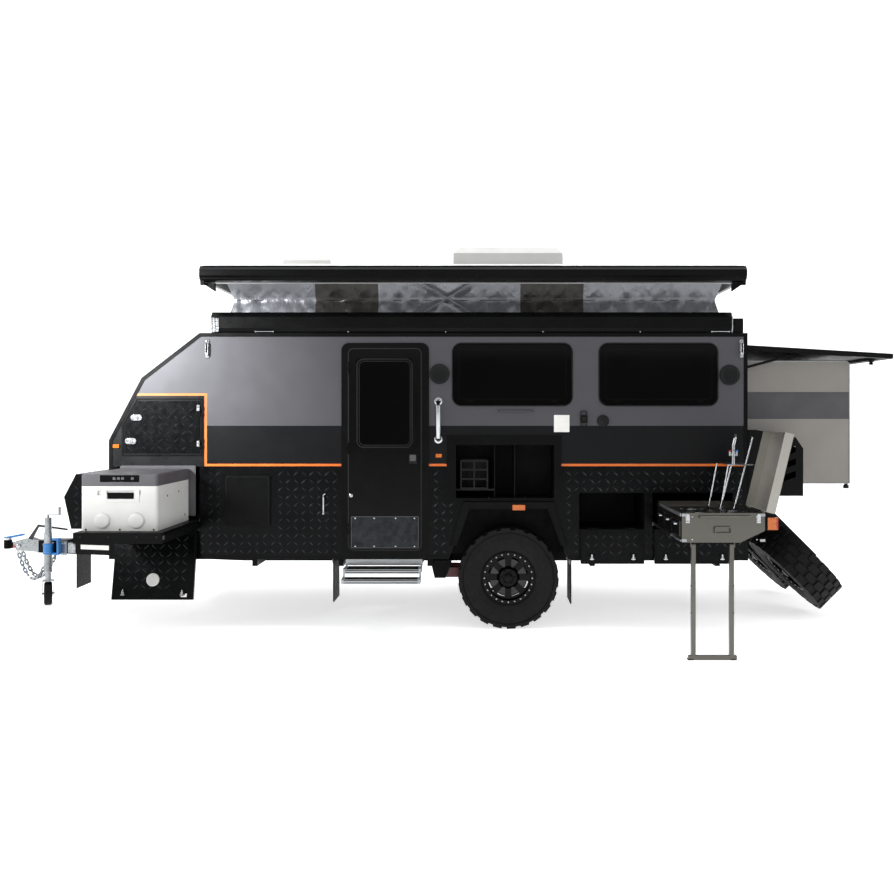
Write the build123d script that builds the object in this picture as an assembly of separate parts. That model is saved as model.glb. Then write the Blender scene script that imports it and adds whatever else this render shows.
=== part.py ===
"""Hybrid off-road caravan, parked with its kitchen, fridge and bed pod out and its roof up.

X runs back from the coupling's pin, Y from the centre line with the near side negative, and Z
up from the ground. The last lines lower every piece so that the origin is at the pin.
"""
from build123d import *
import math
import os

# Driving dimensions, in millimetres
COUPLING_Z = 519
AXLE_X = 4548
TYRE_D = 804
TYRE_W = 265
RIM_D = 418
RIM_W = 200
BODY_FRONT_X = 1367
BODY_LENGTH = 5084
BODY_WIDTH = 2240
BODY_BOTTOM_Z = 560
BODY_TOP_Z = 2361
WALL = 32
TRIM_W = 30
TRIM_T = 4
PANEL_GAP = 8
SEAT = 0.3
RAIL_H = 100
RAIL_W = 50
RAIL_T = 4
FRIDGE_TRAVEL = 870
KITCHEN_REACH = 946
POD_TRAVEL = 920

BODY_REAR_X = BODY_FRONT_X + BODY_LENGTH
NEAR = -BODY_WIDTH / 2
FAR = BODY_WIDTH / 2
WHEEL_Y = FAR - 145
RAIL_Y = WHEEL_Y - 455
TYRE_R = TYRE_D / 2
RIM_R = RIM_D / 2

# Side profile of the body: distance behind the front edge, and height
KNEE = (0, 1507)
SHOULDER = (260, 2004)
TOP_FRONT = (722, BODY_TOP_Z)

# Openings of the near side: x from, x to, z from, z to, corner radius
NEAR_OPENINGS = {
    "tunnel": (1434, 2089, 780, 1328, 6),
    "door": (3246, 3885, 592, 2262, 46),
    "window_front": (4124, 5034, 1804, 2257, 48),
    "window_rear": (BODY_REAR_X - 1160, BODY_REAR_X - 259, 1804, 2257, 48),
    "pantry": (4130, 4910, 1047, 1469, 6),
    "storage": (BODY_REAR_X - 1341, BODY_REAR_X - 821, 800, 1088, 6),
    "kitchen": (BODY_REAR_X - 757, BODY_REAR_X - 117, 800, 1088, 6),
}
# Openings of the far side, which the photograph hides: two windows and the tunnel's second door
FAR_OPENINGS = {
    "tunnel": (1434, 2089, 780, 1328, 6),
    "window_front": (2700, 3610, 1804, 2257, 48),
    "window_rear": (BODY_REAR_X - 1160, BODY_REAR_X - 259, 1804, 2257, 48),
}
# The tool locker's opening follows the sloping nose: points in x and z
TOOL_DOOR = [(1482, 1395), (2100, 1395), (2100, 1827), (1597, 1827), (1482, 1624)]
# Wheel arch: half length at the bottom, half length at the top, height of the top
ARCH = (480, 330, 985)
ARCH_DEPTH = 330


def block(x, y, z):
    """Box between two limits along each axis."""
    size = (x[1] - x[0], y[1] - y[0], z[1] - z[0])
    return Pos((x[0] + x[1]) / 2, (y[0] + y[1]) / 2, (z[0] + z[1]) / 2) * Box(*size)


def side_plane(y):
    """Plane seen from the near side, with its normal towards the near side."""
    return Plane(origin=(0, y, 0), x_dir=(1, 0, 0), z_dir=(0, -1, 0))


def side_sheet(outline, y):
    """Plate whose outline, points in x and z, is pushed through between two y limits."""
    sketch = side_plane(max(y)) * Polygon(*outline, align=None)
    return extrude(sketch, max(y) - min(y), dir=(0, -1, 0))


def side_panel(x, z, y, r):
    """Plate with rounded corners between limits in x, z and y."""
    centre = Pos((x[0] + x[1]) / 2, (z[0] + z[1]) / 2)
    sketch = centre * RectangleRounded(x[1] - x[0], z[1] - z[0], r)
    return extrude(side_plane(max(y)) * sketch, max(y) - min(y), dir=(0, -1, 0))


def side_frame(x, z, y, r, border):
    """Rounded plate with a rounded hole, so that a border is left all round."""
    hole_r = max(r - border, 2)
    inner_x = (x[0] + border, x[1] - border)
    inner_z = (z[0] + border, z[1] - border)
    cut = side_panel(inner_x, inner_z, (min(y) - 1, max(y) + 1), hole_r)
    return side_panel(x, z, y, r) - cut


def cross_sheet(outline, x):
    """Plate whose outline, points in y and z, is pushed back between two x limits."""
    sketch = Plane.YZ.offset(min(x)) * Polygon(*outline, align=None)
    return extrude(sketch, max(x) - min(x), dir=(1, 0, 0))


def rod_x(x, y, z, r):
    """Round bar along X between two limits."""
    return Pos((x[0] + x[1]) / 2, y, z) * Rot(0, 90, 0) * Cylinder(r, x[1] - x[0])


def rod_y(x, y, z, r):
    """Round bar along Y between two limits."""
    return Pos(x, (y[0] + y[1]) / 2, z) * Rot(90, 0, 0) * Cylinder(r, y[1] - y[0])


def rod_z(x, y, z, r):
    """Upright round bar between two limits."""
    return Pos(x, y, (z[0] + z[1]) / 2) * Cylinder(r, z[1] - z[0])


def rod(start, end, r):
    """Round bar between two points."""
    line = Vector(*end) - Vector(*start)
    return Plane(origin=start, z_dir=line) * Cylinder(r, line.length, align=(Align.CENTER,
                 Align.CENTER, Align.MIN))


def tube_rail(x, y, z, t):
    """Box-section rail with open ends, along X, between limits in y and z."""
    bore = block((x[0] - 1, x[1] + 1), (y[0] + t, y[1] - t), (z[0] + t, z[1] - t))
    return block(x, y, z) - bore


def mirrored(shape):
    """A shape and its mirror image on the far side."""
    return [shape, mirror(shape, Plane.XZ)]


def fused(shapes):
    """One shape from several that touch."""
    return shapes[0].fuse(*shapes[1:]) if len(shapes) > 1 else shapes[0]


def group(shapes):
    """Several solids in one node, whether or not they touch."""
    solids = []
    for shape in shapes:
        solids += shape.solids()
    return Compound(solids)


def body_profile(inset=0):
    """Outline of the body's side, or the same drawn in by an inset."""
    front = BODY_FRONT_X
    outline = Polygon(
        (front, BODY_BOTTOM_Z), (front + KNEE[0], KNEE[1]), (front + SHOULDER[0], SHOULDER[1]),
        (front + TOP_FRONT[0], TOP_FRONT[1]), (BODY_REAR_X, BODY_TOP_Z),
        (BODY_REAR_X, BODY_BOTTOM_Z), align=None)
    return offset(outline, -inset, kind=Kind.INTERSECTION) if inset else outline


def body_plate(y, inset=0):
    """The body's side outline pushed through between two y limits."""
    return extrude(side_plane(max(y)) * body_profile(inset), max(y) - min(y), dir=(0, -1, 0))


def arch_outline(grow=0):
    """Trapezoid of the wheel arch, from under the body to its top."""
    low, high, top = ARCH
    foot = BODY_BOTTOM_Z - 20
    return [(AXLE_X - low - grow, foot), (AXLE_X + low + grow, foot),
            (AXLE_X + high + grow, top + grow), (AXLE_X - high - grow, top + grow)]


# Chassis: two box rails, cross members, and an A-frame drawbar that closes at the coupling
RAIL_Z = (BODY_BOTTOM_Z - RAIL_H, BODY_BOTTOM_Z)
DRAWBAR_REACH = 2300
DRAWBAR_TIP_X = 330
DRAWBAR_TIP_Y = 60
CROSS_W = 50


def arm_y(x):
    """How far from the centre line the middle of the drawbar's arm runs."""
    slope = (RAIL_Y - DRAWBAR_TIP_Y) / (DRAWBAR_REACH - DRAWBAR_TIP_X)
    return min(DRAWBAR_TIP_Y + slope * (x - DRAWBAR_TIP_X), RAIL_Y)


def drawbar_arm():
    """One sloping arm of the A-frame, from its tip to the main rail, on the far side."""
    half = RAIL_W / 2
    tip, end = DRAWBAR_TIP_X, DRAWBAR_REACH
    outline = [(tip, DRAWBAR_TIP_Y - half), (end, RAIL_Y - half), (end, RAIL_Y + half),
               (tip, DRAWBAR_TIP_Y + half)]
    sketch = Plane.XY.offset(RAIL_Z[0]) * Polygon(*outline, align=None)
    arm = extrude(sketch, RAIL_H, dir=(0, 0, 1))
    hollow = [(tip - 1, DRAWBAR_TIP_Y - half + RAIL_T), (end, RAIL_Y - half + RAIL_T),
              (end, RAIL_Y + half - RAIL_T), (tip - 1, DRAWBAR_TIP_Y + half - RAIL_T)]
    bore = Plane.XY.offset(RAIL_Z[0] + RAIL_T) * Polygon(*hollow, align=None)
    return arm - extrude(bore, RAIL_H - 2 * RAIL_T, dir=(0, 0, 1))


def make_chassis():
    half = RAIL_W / 2
    parts = []
    rail = tube_rail((DRAWBAR_REACH, BODY_REAR_X), (RAIL_Y - half, RAIL_Y + half), RAIL_Z, RAIL_T)
    parts += mirrored(rail)
    parts += mirrored(drawbar_arm())
    for x in (BODY_FRONT_X + 60, DRAWBAR_REACH, BODY_FRONT_X + 1733, AXLE_X - 620, AXLE_X + 520,
              BODY_REAR_X - 751, BODY_REAR_X - CROSS_W):
        parts.append(block((x, x + CROSS_W), (-arm_y(x), arm_y(x)), RAIL_Z))
    for x in (BODY_FRONT_X + 333, BODY_FRONT_X + 1133, BODY_FRONT_X + 1823, AXLE_X - 648, AXLE_X + 652,
              BODY_REAR_X - 251):
        outrigger = block((x, x + 40), (arm_y(x), FAR - WALL), (RAIL_Z[1] - 60, RAIL_Z[1]))
        parts += mirrored(outrigger)
    plate_y = DRAWBAR_TIP_Y + half
    parts.append(block((DRAWBAR_TIP_X - 12, DRAWBAR_TIP_X + 240), (-plate_y, plate_y),
                       (RAIL_Z[1], RAIL_Z[1] + 10)))
    parts.append(block((DRAWBAR_TIP_X - 12, DRAWBAR_TIP_X), (-plate_y, plate_y), RAIL_Z))
    for shape in hanger():
        parts += mirrored(shape)
    parts += [chain_ring(side, -1) for side in (-1, 1)]
    return fused(parts + [make_bumper()])


# Independent suspension: trailing arms on pivots, coil springs, dampers, hubs and brake drums
ARM_PIVOT_X = AXLE_X - 560
ARM_H = 80
ARM_PIVOT_Z = RAIL_Z[0] - 60
ARM_Y = (RAIL_Y + 40, RAIL_Y + 230)
ARM_END_Y = ARM_Y[1] + 10
DISC_INSET = 42
DISC_T = 12
HUB_FACE_Y = WHEEL_Y + RIM_W / 2 - DISC_INSET - DISC_T / 2 - 0.5
COIL_R = 56
COIL_PITCH = 24
COIL_WIRE_R = 8
DRUM_R = 155
DRUM_W = 70


def trailing_arm():
    """Far side's arm: a triangular box from two pivots back to the stub axle."""
    low, high = ARM_Y
    outline = [(ARM_PIVOT_X, low - 60), (ARM_PIVOT_X, high + 40), (AXLE_X - 80, ARM_END_Y),
               (AXLE_X + 60, ARM_END_Y), (AXLE_X + 60, high - 90), (AXLE_X - 160, low)]
    base = Plane.XY.offset(ARM_PIVOT_Z - ARM_H / 2) * Polygon(*outline, align=None)
    arm = extrude(base, ARM_H, dir=(0, 0, 1))
    window = [(ARM_PIVOT_X + 90, low), (ARM_PIVOT_X + 90, high - 20), (AXLE_X - 190, high - 60),
              (AXLE_X - 190, low + 40)]
    cut = Plane.XY.offset(ARM_PIVOT_Z - ARM_H) * Polygon(*window, align=None)
    arm -= extrude(cut, 2 * ARM_H, dir=(0, 0, 1))
    eye = rod_y(ARM_PIVOT_X, (low - 60, high + 40), ARM_PIVOT_Z, 40)
    return arm + eye


def hanger():
    """Far side's pivot brackets, which drop from the rail and an outer gusset."""
    low, high = ARM_Y
    plates = []
    for y in (low - 66, high + 40):
        outline = [(ARM_PIVOT_X - 70, RAIL_Z[0]), (ARM_PIVOT_X + 90, RAIL_Z[0]),
                   (ARM_PIVOT_X + 45, ARM_PIVOT_Z - 45), (ARM_PIVOT_X - 45, ARM_PIVOT_Z - 45)]
        plates.append(side_sheet(outline, (y, y + 6)))
    beam = block((ARM_PIVOT_X - 70, ARM_PIVOT_X + 90), (RAIL_Y + RAIL_W / 2, high + 46),
                 (RAIL_Z[0], RAIL_Z[0] + 40))
    return [beam] + plates


def spring():
    """Far side's coil spring round its bump stop, between the arm and the cup above."""
    y = (ARM_Y[0] + ARM_Y[1]) / 2 + 20
    arm_top = ARM_PIVOT_Z + ARM_H / 2
    cup_z = RAIL_Z[1] - 20
    path = Helix(pitch=COIL_PITCH, height=cup_z - arm_top - 2 * COIL_WIRE_R, radius=COIL_R)
    wire = sweep(Plane(origin=path @ 0, z_dir=path % 0) * RegularPolygon(COIL_WIRE_R, 6), path=path)
    coil = Pos(AXLE_X - 90, y, arm_top + COIL_WIRE_R) * wire
    stop = rod_z(AXLE_X - 90, y, (arm_top, cup_z), 30)
    cup = rod_z(AXLE_X - 90, y, (cup_z, RAIL_Z[1]), 74)
    return fused([stop, cup]).solids() + [coil]


def damper():
    """Far side's damper, from the arm's tail up to the body's floor."""
    return rod_z(AXLE_X + 20, ARM_Y[1] - 50, (ARM_PIVOT_Z + ARM_H / 2, BODY_BOTTOM_Z), 24)


def stub_axle():
    """Far side's stub axle and brake drum, up to the wheel's mounting face."""
    axle = rod_y(AXLE_X, (ARM_END_Y, HUB_FACE_Y - DRUM_W), TYRE_R, 34)
    drum = rod_y(AXLE_X, (HUB_FACE_Y - DRUM_W, HUB_FACE_Y), TYRE_R, DRUM_R)
    drum = chamfer(drum.edges().filter_by(GeomType.CIRCLE), 8)
    nose = rod_y(AXLE_X, (HUB_FACE_Y, HUB_FACE_Y + 46), TYRE_R, 38)
    return fused([axle, drum, nose])


# Wheels: mud tyres with staggered rows of lugs, black spoked rims with a bead ring
LUGS = 22
LUG_H = 14
SPOKES = 8
WHEEL_NUTS = 6
NUT_CIRCLE_R = 69.85
# Rows of lugs across the tread: middle as a share of the half width, length, turn and width in lug pitches
LUG_ROWS = ((-0.76, 56, 0.0, 0.60), (-0.26, 58, 0.5, 0.70), (0.26, 58, 0.2, 0.70), (0.76, 56, 0.7, 0.60))


def lug_row(length, share):
    """Gear-like ring of lugs out to the tyre's full radius, standing along Z."""
    root = TYRE_R - LUG_H
    half = math.pi / LUGS
    points = []
    for lug in range(LUGS):
        for side, r in ((-share - 0.08, root), (-share, TYRE_R), (share, TYRE_R), (share + 0.08, root)):
            angle = (2 * lug + side) * half
            points.append((r * math.cos(angle), r * math.sin(angle)))
    return Pos(0, 0, -length / 2) * extrude(Polygon(*points, align=None) - Circle(root - 20), length)


def make_tyre():
    """Tyre about the Z axis, centred on the origin: a round carcass under its rows of lugs."""
    half = TYRE_W / 2
    root = TYRE_R - LUG_H
    section = [(RIM_R, half - 34), (RIM_R + 18, half - 14), (RIM_R + 60, half - 2), (RIM_R + 96, half),
               (root - 34, half - 6), (root - 8, half - 16), (root, half - 30)]
    outline = section + [(r, -w) for r, w in reversed(section)]
    shapes = [revolve(Plane.XZ * Polygon(*outline, align=None), Axis.Z)]
    for middle, length, turn, share in LUG_ROWS:
        shapes.append(Pos(0, 0, middle * half) * Rot(0, 0, 360 / LUGS * turn) * lug_row(length, share))
    return fused(shapes)


def make_rim():
    """Rim about the Z axis, its face towards +Z, centred like the tyre."""
    half = RIM_W / 2
    section = [(RIM_R - 14, half + 8), (RIM_R, half + 8), (RIM_R, -half), (RIM_R - 10, -half),
               (RIM_R - 10, -half + 14), (RIM_R - 32, -half + 40), (RIM_R - 32, half - 50),
               (RIM_R - 18, half - 20)]
    barrel = revolve(Plane.XZ * Polygon(*section, align=None), Axis.Z)
    face = half - DISC_INSET
    disc = Pos(0, 0, face) * Cylinder(RIM_R - 24, DISC_T)
    disc += Pos(0, 0, face + 6) * Cone(92, 70, 26, align=(Align.CENTER, Align.CENTER, Align.MIN))
    window = Polygon((84, -9), (RIM_R - 62, -34), (RIM_R - 46, -24), (RIM_R - 46, 24),
                     (RIM_R - 62, 34), (84, 9), align=None)
    cut = extrude(window, 60)
    for spoke in range(SPOKES):
        disc -= Pos(0, 0, face - 20) * Rot(0, 0, 360 / SPOKES * (spoke + 0.5)) * cut
    disc -= Pos(0, 0, face - 20) * Cylinder(42, 120)
    ring = Pos(0, 0, half + 2) * (Cylinder(RIM_R - 6, 16) - Cylinder(RIM_R - 30, 20))
    return fused([barrel, disc, ring])


def wheel_nuts():
    """Nuts and centre cap of one wheel, about the Z axis."""
    face = RIM_W / 2 - DISC_INSET + DISC_T / 2 + 26
    nut = extrude(RegularPolygon(11, 6), 18)
    shapes = []
    for i in range(WHEEL_NUTS):
        shapes.append(Rot(0, 0, 360 / WHEEL_NUTS * i) * Pos(NUT_CIRCLE_R - 16, 0, face) * nut)
    shapes.append(Pos(0, 0, face) * (Cylinder(46, 10, align=(Align.CENTER, Align.CENTER,
                                                            Align.MIN)) - Cylinder(41, 60)))
    return shapes


def at_wheel(shape, side):
    """Place a wheel piece, built about Z, at the axle's end on one side."""
    turn = Rot(90, 0, 0) if side < 0 else Rot(-90, 0, 0)
    return Pos(AXLE_X, side * WHEEL_Y, TYRE_R) * turn * shape


# Coupling at the front, with the jockey wheel clamped to the drawbar
PIN_BORE_R = 17.6
PIN_BORE_H = 64
COUPLING_R = 36
JOCKEY_X = 447
JOCKEY_Y = -175
JOCKEY_TUBE_R = 30
JOCKEY_BORE_R = 25
JOCKEY_STEM_R = 24.4
JOCKEY_TUBE_Z = (315, 787)
JOCKEY_WHEEL_R = 103.5
JOCKEY_WHEEL_W = 72
JOCKEY_TRAIL = 36
JOCKEY_YAW = 24


def make_coupling():
    """Socket over the towing pin, its yoke and the shank bolted to the A-frame."""
    low = COUPLING_Z - PIN_BORE_H / 2
    socket = rod_z(0, 0, (low, low + PIN_BORE_H + 18), COUPLING_R)
    socket = chamfer(socket.edges().filter_by(GeomType.CIRCLE), 5)
    socket -= rod_z(0, 0, (low - 1, low + PIN_BORE_H), PIN_BORE_R)
    neck = block((COUPLING_R - 10, 120), (-24, 24), (COUPLING_Z - 26, COUPLING_Z + 26))
    yoke = [(96, COUPLING_Z - 40), (96, COUPLING_Z + 44), (190, COUPLING_Z + 62),
            (DRAWBAR_TIP_X - 12, COUPLING_Z + 41), (DRAWBAR_TIP_X - 12, COUPLING_Z - 59),
            (190, COUPLING_Z - 48)]
    cheeks = [side_sheet(yoke, (-52, -24)), side_sheet(yoke, (24, 52))]
    web = block((150, DRAWBAR_TIP_X - 12), (-24, 24), (COUPLING_Z - 40, COUPLING_Z + 36))
    pin = rod_y(126, (-66, 66), COUPLING_Z, 14)
    flange = block((DRAWBAR_TIP_X - 24, DRAWBAR_TIP_X - 12), (-84, 84), RAIL_Z)
    rings = [chain_ring(side, 0) for side in (-1, 1)]
    return fused([socket, neck, web, pin, flange] + cheeks + rings)


def coupling_handles():
    """Release levers and the handbrake lever above the coupling."""
    lever = side_sheet([(-30, COUPLING_Z + 60), (40, COUPLING_Z + 66), (150, COUPLING_Z + 88),
                        (146, COUPLING_Z + 106), (30, COUPLING_Z + 84), (-34, COUPLING_Z + 74)],
                       (-12, 12))
    post = block((6, 26), (-12, 12), (COUPLING_Z + 50, COUPLING_Z + 68))
    brake = side_sheet([(200, COUPLING_Z + 61), (240, COUPLING_Z + 55), (300, COUPLING_Z + 170),
                        (560, COUPLING_Z + 138), (562, COUPLING_Z + 154), (292, COUPLING_Z + 192)],
                       (-40, -28))
    return [fused([lever, post]), brake]


def make_jockey_tube():
    """Outer tube of the jockey, its clamp on the near arm of the drawbar, and the winder."""
    low, high = JOCKEY_TUBE_Z
    tube = rod_z(JOCKEY_X, JOCKEY_Y, (low, high), JOCKEY_TUBE_R)
    tube -= rod_z(JOCKEY_X, JOCKEY_Y, (low - 1, high - 25), JOCKEY_BORE_R)
    slope = (RAIL_Y - DRAWBAR_TIP_Y) / (DRAWBAR_REACH - DRAWBAR_TIP_X)
    arm_y = -(DRAWBAR_TIP_Y + RAIL_W / 2 + slope * (JOCKEY_X - DRAWBAR_TIP_X))
    band = rod_z(JOCKEY_X, JOCKEY_Y, RAIL_Z, JOCKEY_TUBE_R + 10)
    band -= rod_z(JOCKEY_X, JOCKEY_Y, (RAIL_Z[0] - 1, RAIL_Z[1] + 1), JOCKEY_TUBE_R - 1)
    lug = block((JOCKEY_X - 30, JOCKEY_X + 30), (JOCKEY_Y + JOCKEY_TUBE_R - 2, arm_y + 10), RAIL_Z)
    arm_cut = Plane.XY.offset(RAIL_Z[0] - 1) * Polygon(
        (JOCKEY_X - 90, arm_y + slope * 90), (JOCKEY_X + 90, arm_y - slope * 90),
        (JOCKEY_X + 90, arm_y + 90), (JOCKEY_X - 90, arm_y + 90), align=None)
    lug -= extrude(arm_cut, RAIL_H + 2, dir=(0, 0, 1))
    crank = fused([rod_z(JOCKEY_X, JOCKEY_Y, (high, high + 22), 9),
                   block((JOCKEY_X - 10, JOCKEY_X + 112), (JOCKEY_Y - 9, JOCKEY_Y + 9),
                         (high + 22, high + 30)),
                   rod_z(JOCKEY_X + 102, JOCKEY_Y, (high + 30, high + 96), 11)])
    return fused([tube, band, lug, crank])


def make_jockey_fork():
    """Inner stem with the fork below it, which swivels in the tube."""
    axle_z = JOCKEY_WHEEL_R
    crown = 2 * JOCKEY_WHEEL_R + 12
    half = JOCKEY_WHEEL_W / 2 + 7
    stem = Pos(0, 0, crown + 6) * Cylinder(JOCKEY_STEM_R, JOCKEY_TUBE_Z[1] - 40 - crown,
                                           align=(Align.CENTER, Align.CENTER, Align.MIN))
    top = block((-half - 5, half + 5), (-30, JOCKEY_TRAIL + 30), (crown, crown + 8))
    cheek = [(-26, crown), (JOCKEY_TRAIL + 26, crown), (JOCKEY_TRAIL + 20, axle_z - 20),
             (JOCKEY_TRAIL - 20, axle_z - 20)]
    cheeks = [cross_sheet(cheek, (half, half + 5)), cross_sheet(cheek, (-half - 5, -half))]
    axle = rod_x((-half - 12, half + 12), JOCKEY_TRAIL, axle_z, 8)
    return at_jockey(fused([stem, top, axle] + cheeks))


def make_jockey_wheel():
    """Solid-tyred wheel with dished sides, bored for its axle, turning about X."""
    half = JOCKEY_WHEEL_W / 2
    r = JOCKEY_WHEEL_R
    section = [(8.4, half), (26, half), (30, half - 14), (r - 28, half - 14), (r - 22, half - 2),
               (r - 8, half - 4), (r, half - 14)]
    outline = section + [(radius, -w) for radius, w in reversed(section)]
    wheel = revolve(Plane.XZ * Polygon(*outline, align=None), Axis.Z)
    return at_jockey(Pos(0, JOCKEY_TRAIL, JOCKEY_WHEEL_R) * Rot(0, 90, 0) * wheel)


def at_jockey(shape):
    """Place a piece, built about the post, under the jockey tube at its parked turn."""
    return Pos(JOCKEY_X, JOCKEY_Y, 0) * Rot(0, 0, JOCKEY_YAW) * shape


# Safety chains: rings of eight sides, one hanging loop each side of the coupling
LINK_L = 58
LINK_W = 34
LINK_T = 10
LINK_PLAY = 1.5
CHAIN_SAG = 215
RING_R = 20
RING_WIRE_R = 4


def chain_link():
    """One link lying in the plane of X and Y, long along X."""
    cut = LINK_W * 0.3
    outline = []
    for length, width, c in ((LINK_L, LINK_W, cut), (LINK_L - 2 * LINK_T, LINK_W - 2 * LINK_T, cut / 2)):
        a, b = length / 2, width / 2
        corners = [(a, -b + c), (a, b - c), (a - c, b), (-a + c, b), (-a, b - c), (-a, -b + c),
                   (-a + c, -b), (a - c, -b)]
        outline.append(Polygon(*corners, align=None))
    return Pos(0, 0, -LINK_T / 2) * extrude(outline[0] - outline[1], LINK_T)


def chain_frames(side):
    """Where each link lies on the loop from the coupling to the drawbar's arm."""
    start = Vector(118, side * 38, COUPLING_Z - 75)
    end = Vector(400, side * arm_y(400), RAIL_Z[0] - 38)
    low = (start + end) * 0.5 - Vector(0, 0, 2 * CHAIN_SAG)
    path = Bezier(start, low, end)
    count = math.ceil(path.length / (LINK_L - 2 * LINK_T - LINK_PLAY))
    frames = []
    for i in range(count):
        share = (i + 0.5) / count
        tangent = path.tangent_at(share)
        here = Plane(origin=path.position_at(share), x_dir=tangent, z_dir=tangent.cross(Vector(0, 1, 0)))
        frames.append(Location(here) * Rot(45 + 90 * (i % 2), 0, 0))
    return frames


def make_chain(side):
    """Loop of links that hangs between its two rings."""
    return [place * chain_link() for place in chain_frames(side)]


def chain_ring(side, end):
    """Ring through a loop's first or last link, whose top is welded to what carries it."""
    wire = Pos(RING_R, 0) * RegularPolygon(RING_WIRE_R, 8)
    ring = Rot(90, 0, 0) * revolve(Plane.XZ * wire, Axis.Z)
    reach = RING_R + LINK_L / 2 - LINK_T - RING_WIRE_R - LINK_PLAY
    return chain_frames(side)[end] * Pos(reach if end else -reach, 0, 0) * ring


# Body shell: two side walls with the panels of floor, nose, roof deck and rear between them
LINER_T = 10
POD_Y = FAR - 350
POD_Z = (1136, 2163)
POD_GAP = 6
POD_T = 28
ROOF_HOLE_Y = FAR - 260
ROOF_HOLE_X = (BODY_FRONT_X + 883, BODY_REAR_X - 151)
ARCH_T = 5
SKIRT_T = 2
SKIRT_TOP_Z = 1297
LOCKER_DEPTH = {"storage": 520, "kitchen": 1000}
TOOL_DEPTH = 480
PANTRY_DEPTH = 340
PANTRY_DIVIDERS = (4432, 4592)
DOOR_FRAME = (3219, 3915, 566, 2281, 60)
DOOR_LEAF = (3278, 3851, 636, 2233, 40)
DOOR_T = 34
FACE = NEAR - 12


def opening_cuts(table, y):
    """The openings of one side wall, as plates between two y limits."""
    return [side_panel((x0, x1), (z0, z1), y, r) for x0, x1, z0, z1, r in table.values()]


def make_wall(side):
    """Side wall as a sandwich panel, cut for its openings and its wheel arch."""
    faces = (NEAR, NEAR + WALL) if side < 0 else (FAR - WALL, FAR)
    through = (faces[0] - 1, faces[1] + 1)
    cuts = opening_cuts(NEAR_OPENINGS if side < 0 else FAR_OPENINGS, through)
    if side < 0:
        cuts.append(side_sheet(TOOL_DOOR, through))
    cuts.append(side_sheet(arch_outline(), through))
    return body_plate(faces) - cuts


def make_ring():
    """Floor, nose, roof deck and rear wall as one bent band between the side walls."""
    inner = (NEAR + WALL, FAR - WALL)
    return body_plate(inner) - body_plate((inner[0] - 1, inner[1] + 1), WALL)


def split_ring(ring):
    """The band cut into its four panels, which meet face to face."""
    across = (NEAR, FAR)
    floor_top = BODY_BOTTOM_Z + WALL
    nose_end = BODY_FRONT_X + TOP_FRONT[0]
    deck_low = BODY_TOP_Z - WALL
    whole_x = (BODY_FRONT_X - 10, BODY_REAR_X + 10)
    floor = ring & block(whole_x, across, (0, floor_top))
    arch = side_sheet(arch_outline(ARCH_T), (FAR - ARCH_DEPTH - ARCH_T, FAR + 1))
    floor -= mirrored(arch)
    nose = ring & block((BODY_FRONT_X - 10, nose_end), across, (floor_top, BODY_TOP_Z + 10))
    deck = ring & block((nose_end, BODY_REAR_X + 10), across, (deck_low, BODY_TOP_Z + 10))
    deck -= block(ROOF_HOLE_X, (-ROOF_HOLE_Y, ROOF_HOLE_Y), (deck_low - 1, BODY_TOP_Z + 1))
    rear = ring & block((BODY_REAR_X - WALL - 1, BODY_REAR_X + 10), across, (floor_top, deck_low))
    pod_y = POD_Y + POD_GAP
    pod_z = (POD_Z[0] - POD_GAP, POD_Z[1] + POD_GAP)
    rear -= block((BODY_REAR_X - WALL - 2, BODY_REAR_X + 2), (-pod_y, pod_y), pod_z)
    return floor, nose, deck, rear


def door_frame_outline(y):
    """Outline of the entry door's frame, as a plate between two y limits."""
    x0, x1, z0, z1, r = DOOR_FRAME
    return side_panel((x0, x1), (z0, z1), y, r)


def pantry_frame_outline(y):
    """Outline of the pantry's raised frame, as a plate between two y limits."""
    x0, x1, z0, z1, _ = NEAR_OPENINGS["pantry"]
    return side_panel((x0 - 74, x1 + 59), (z0 - 10, z1 + 76), y, 8)


def make_trim(side):
    """Black extrusion round the edge of one side, broken at the wheel arch."""
    faces = (NEAR - TRIM_T, NEAR) if side < 0 else (FAR, FAR + TRIM_T)
    through = (faces[0] - 1, faces[1] + 1)
    trim = body_plate(faces) - body_plate(through, TRIM_W)
    trim -= side_sheet(arch_outline(), through)
    return trim - door_frame_outline(through) if side < 0 else trim


def make_skirt_plate(side):
    """Checker plate along the lower side, inside the trim and round every opening."""
    faces = (NEAR - SKIRT_T, NEAR) if side < 0 else (FAR, FAR + SKIRT_T)
    through = (faces[0] - 1, faces[1] + 1)
    plate = body_plate(faces, TRIM_W)
    plate &= block((BODY_FRONT_X, BODY_REAR_X), through, (BODY_BOTTOM_Z, SKIRT_TOP_Z))
    cuts = opening_cuts(NEAR_OPENINGS if side < 0 else FAR_OPENINGS, through)
    if side < 0:
        cuts += [door_frame_outline(through), pantry_frame_outline(through)]
    cuts.append(side_sheet(arch_outline(), through))
    plate -= cuts
    if side < 0:
        fixed = [half for name in ("tunnel", "storage", "kitchen") for half in drop_hinges(name)[0]]
        plate = fused([plate] + fixed)
    return plate


def make_tunnel():
    """Locker that runs from side to side behind the nose, open at the near side."""
    x0, x1, z0, z1, _ = NEAR_OPENINGS["tunnel"]
    across = (NEAR + WALL, FAR - WALL)
    outer = block((x0 - LINER_T, x1 + LINER_T), across, (z0 - LINER_T, z1 + LINER_T))
    return outer - block((x0, x1), (across[0] - 1, across[1] + 1), (z0, z1))


def locker_box(name, depth):
    """Lining of one locker, open at the near wall."""
    x0, x1, z0, z1, _ = NEAR_OPENINGS[name]
    y = (NEAR + WALL, NEAR + depth)
    outer = block((x0 - LINER_T, x1 + LINER_T), y, (z0 - LINER_T, z1 + LINER_T))
    return outer - block((x0, x1), (y[0] - 1, y[1] - LINER_T), (z0, z1))


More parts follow.
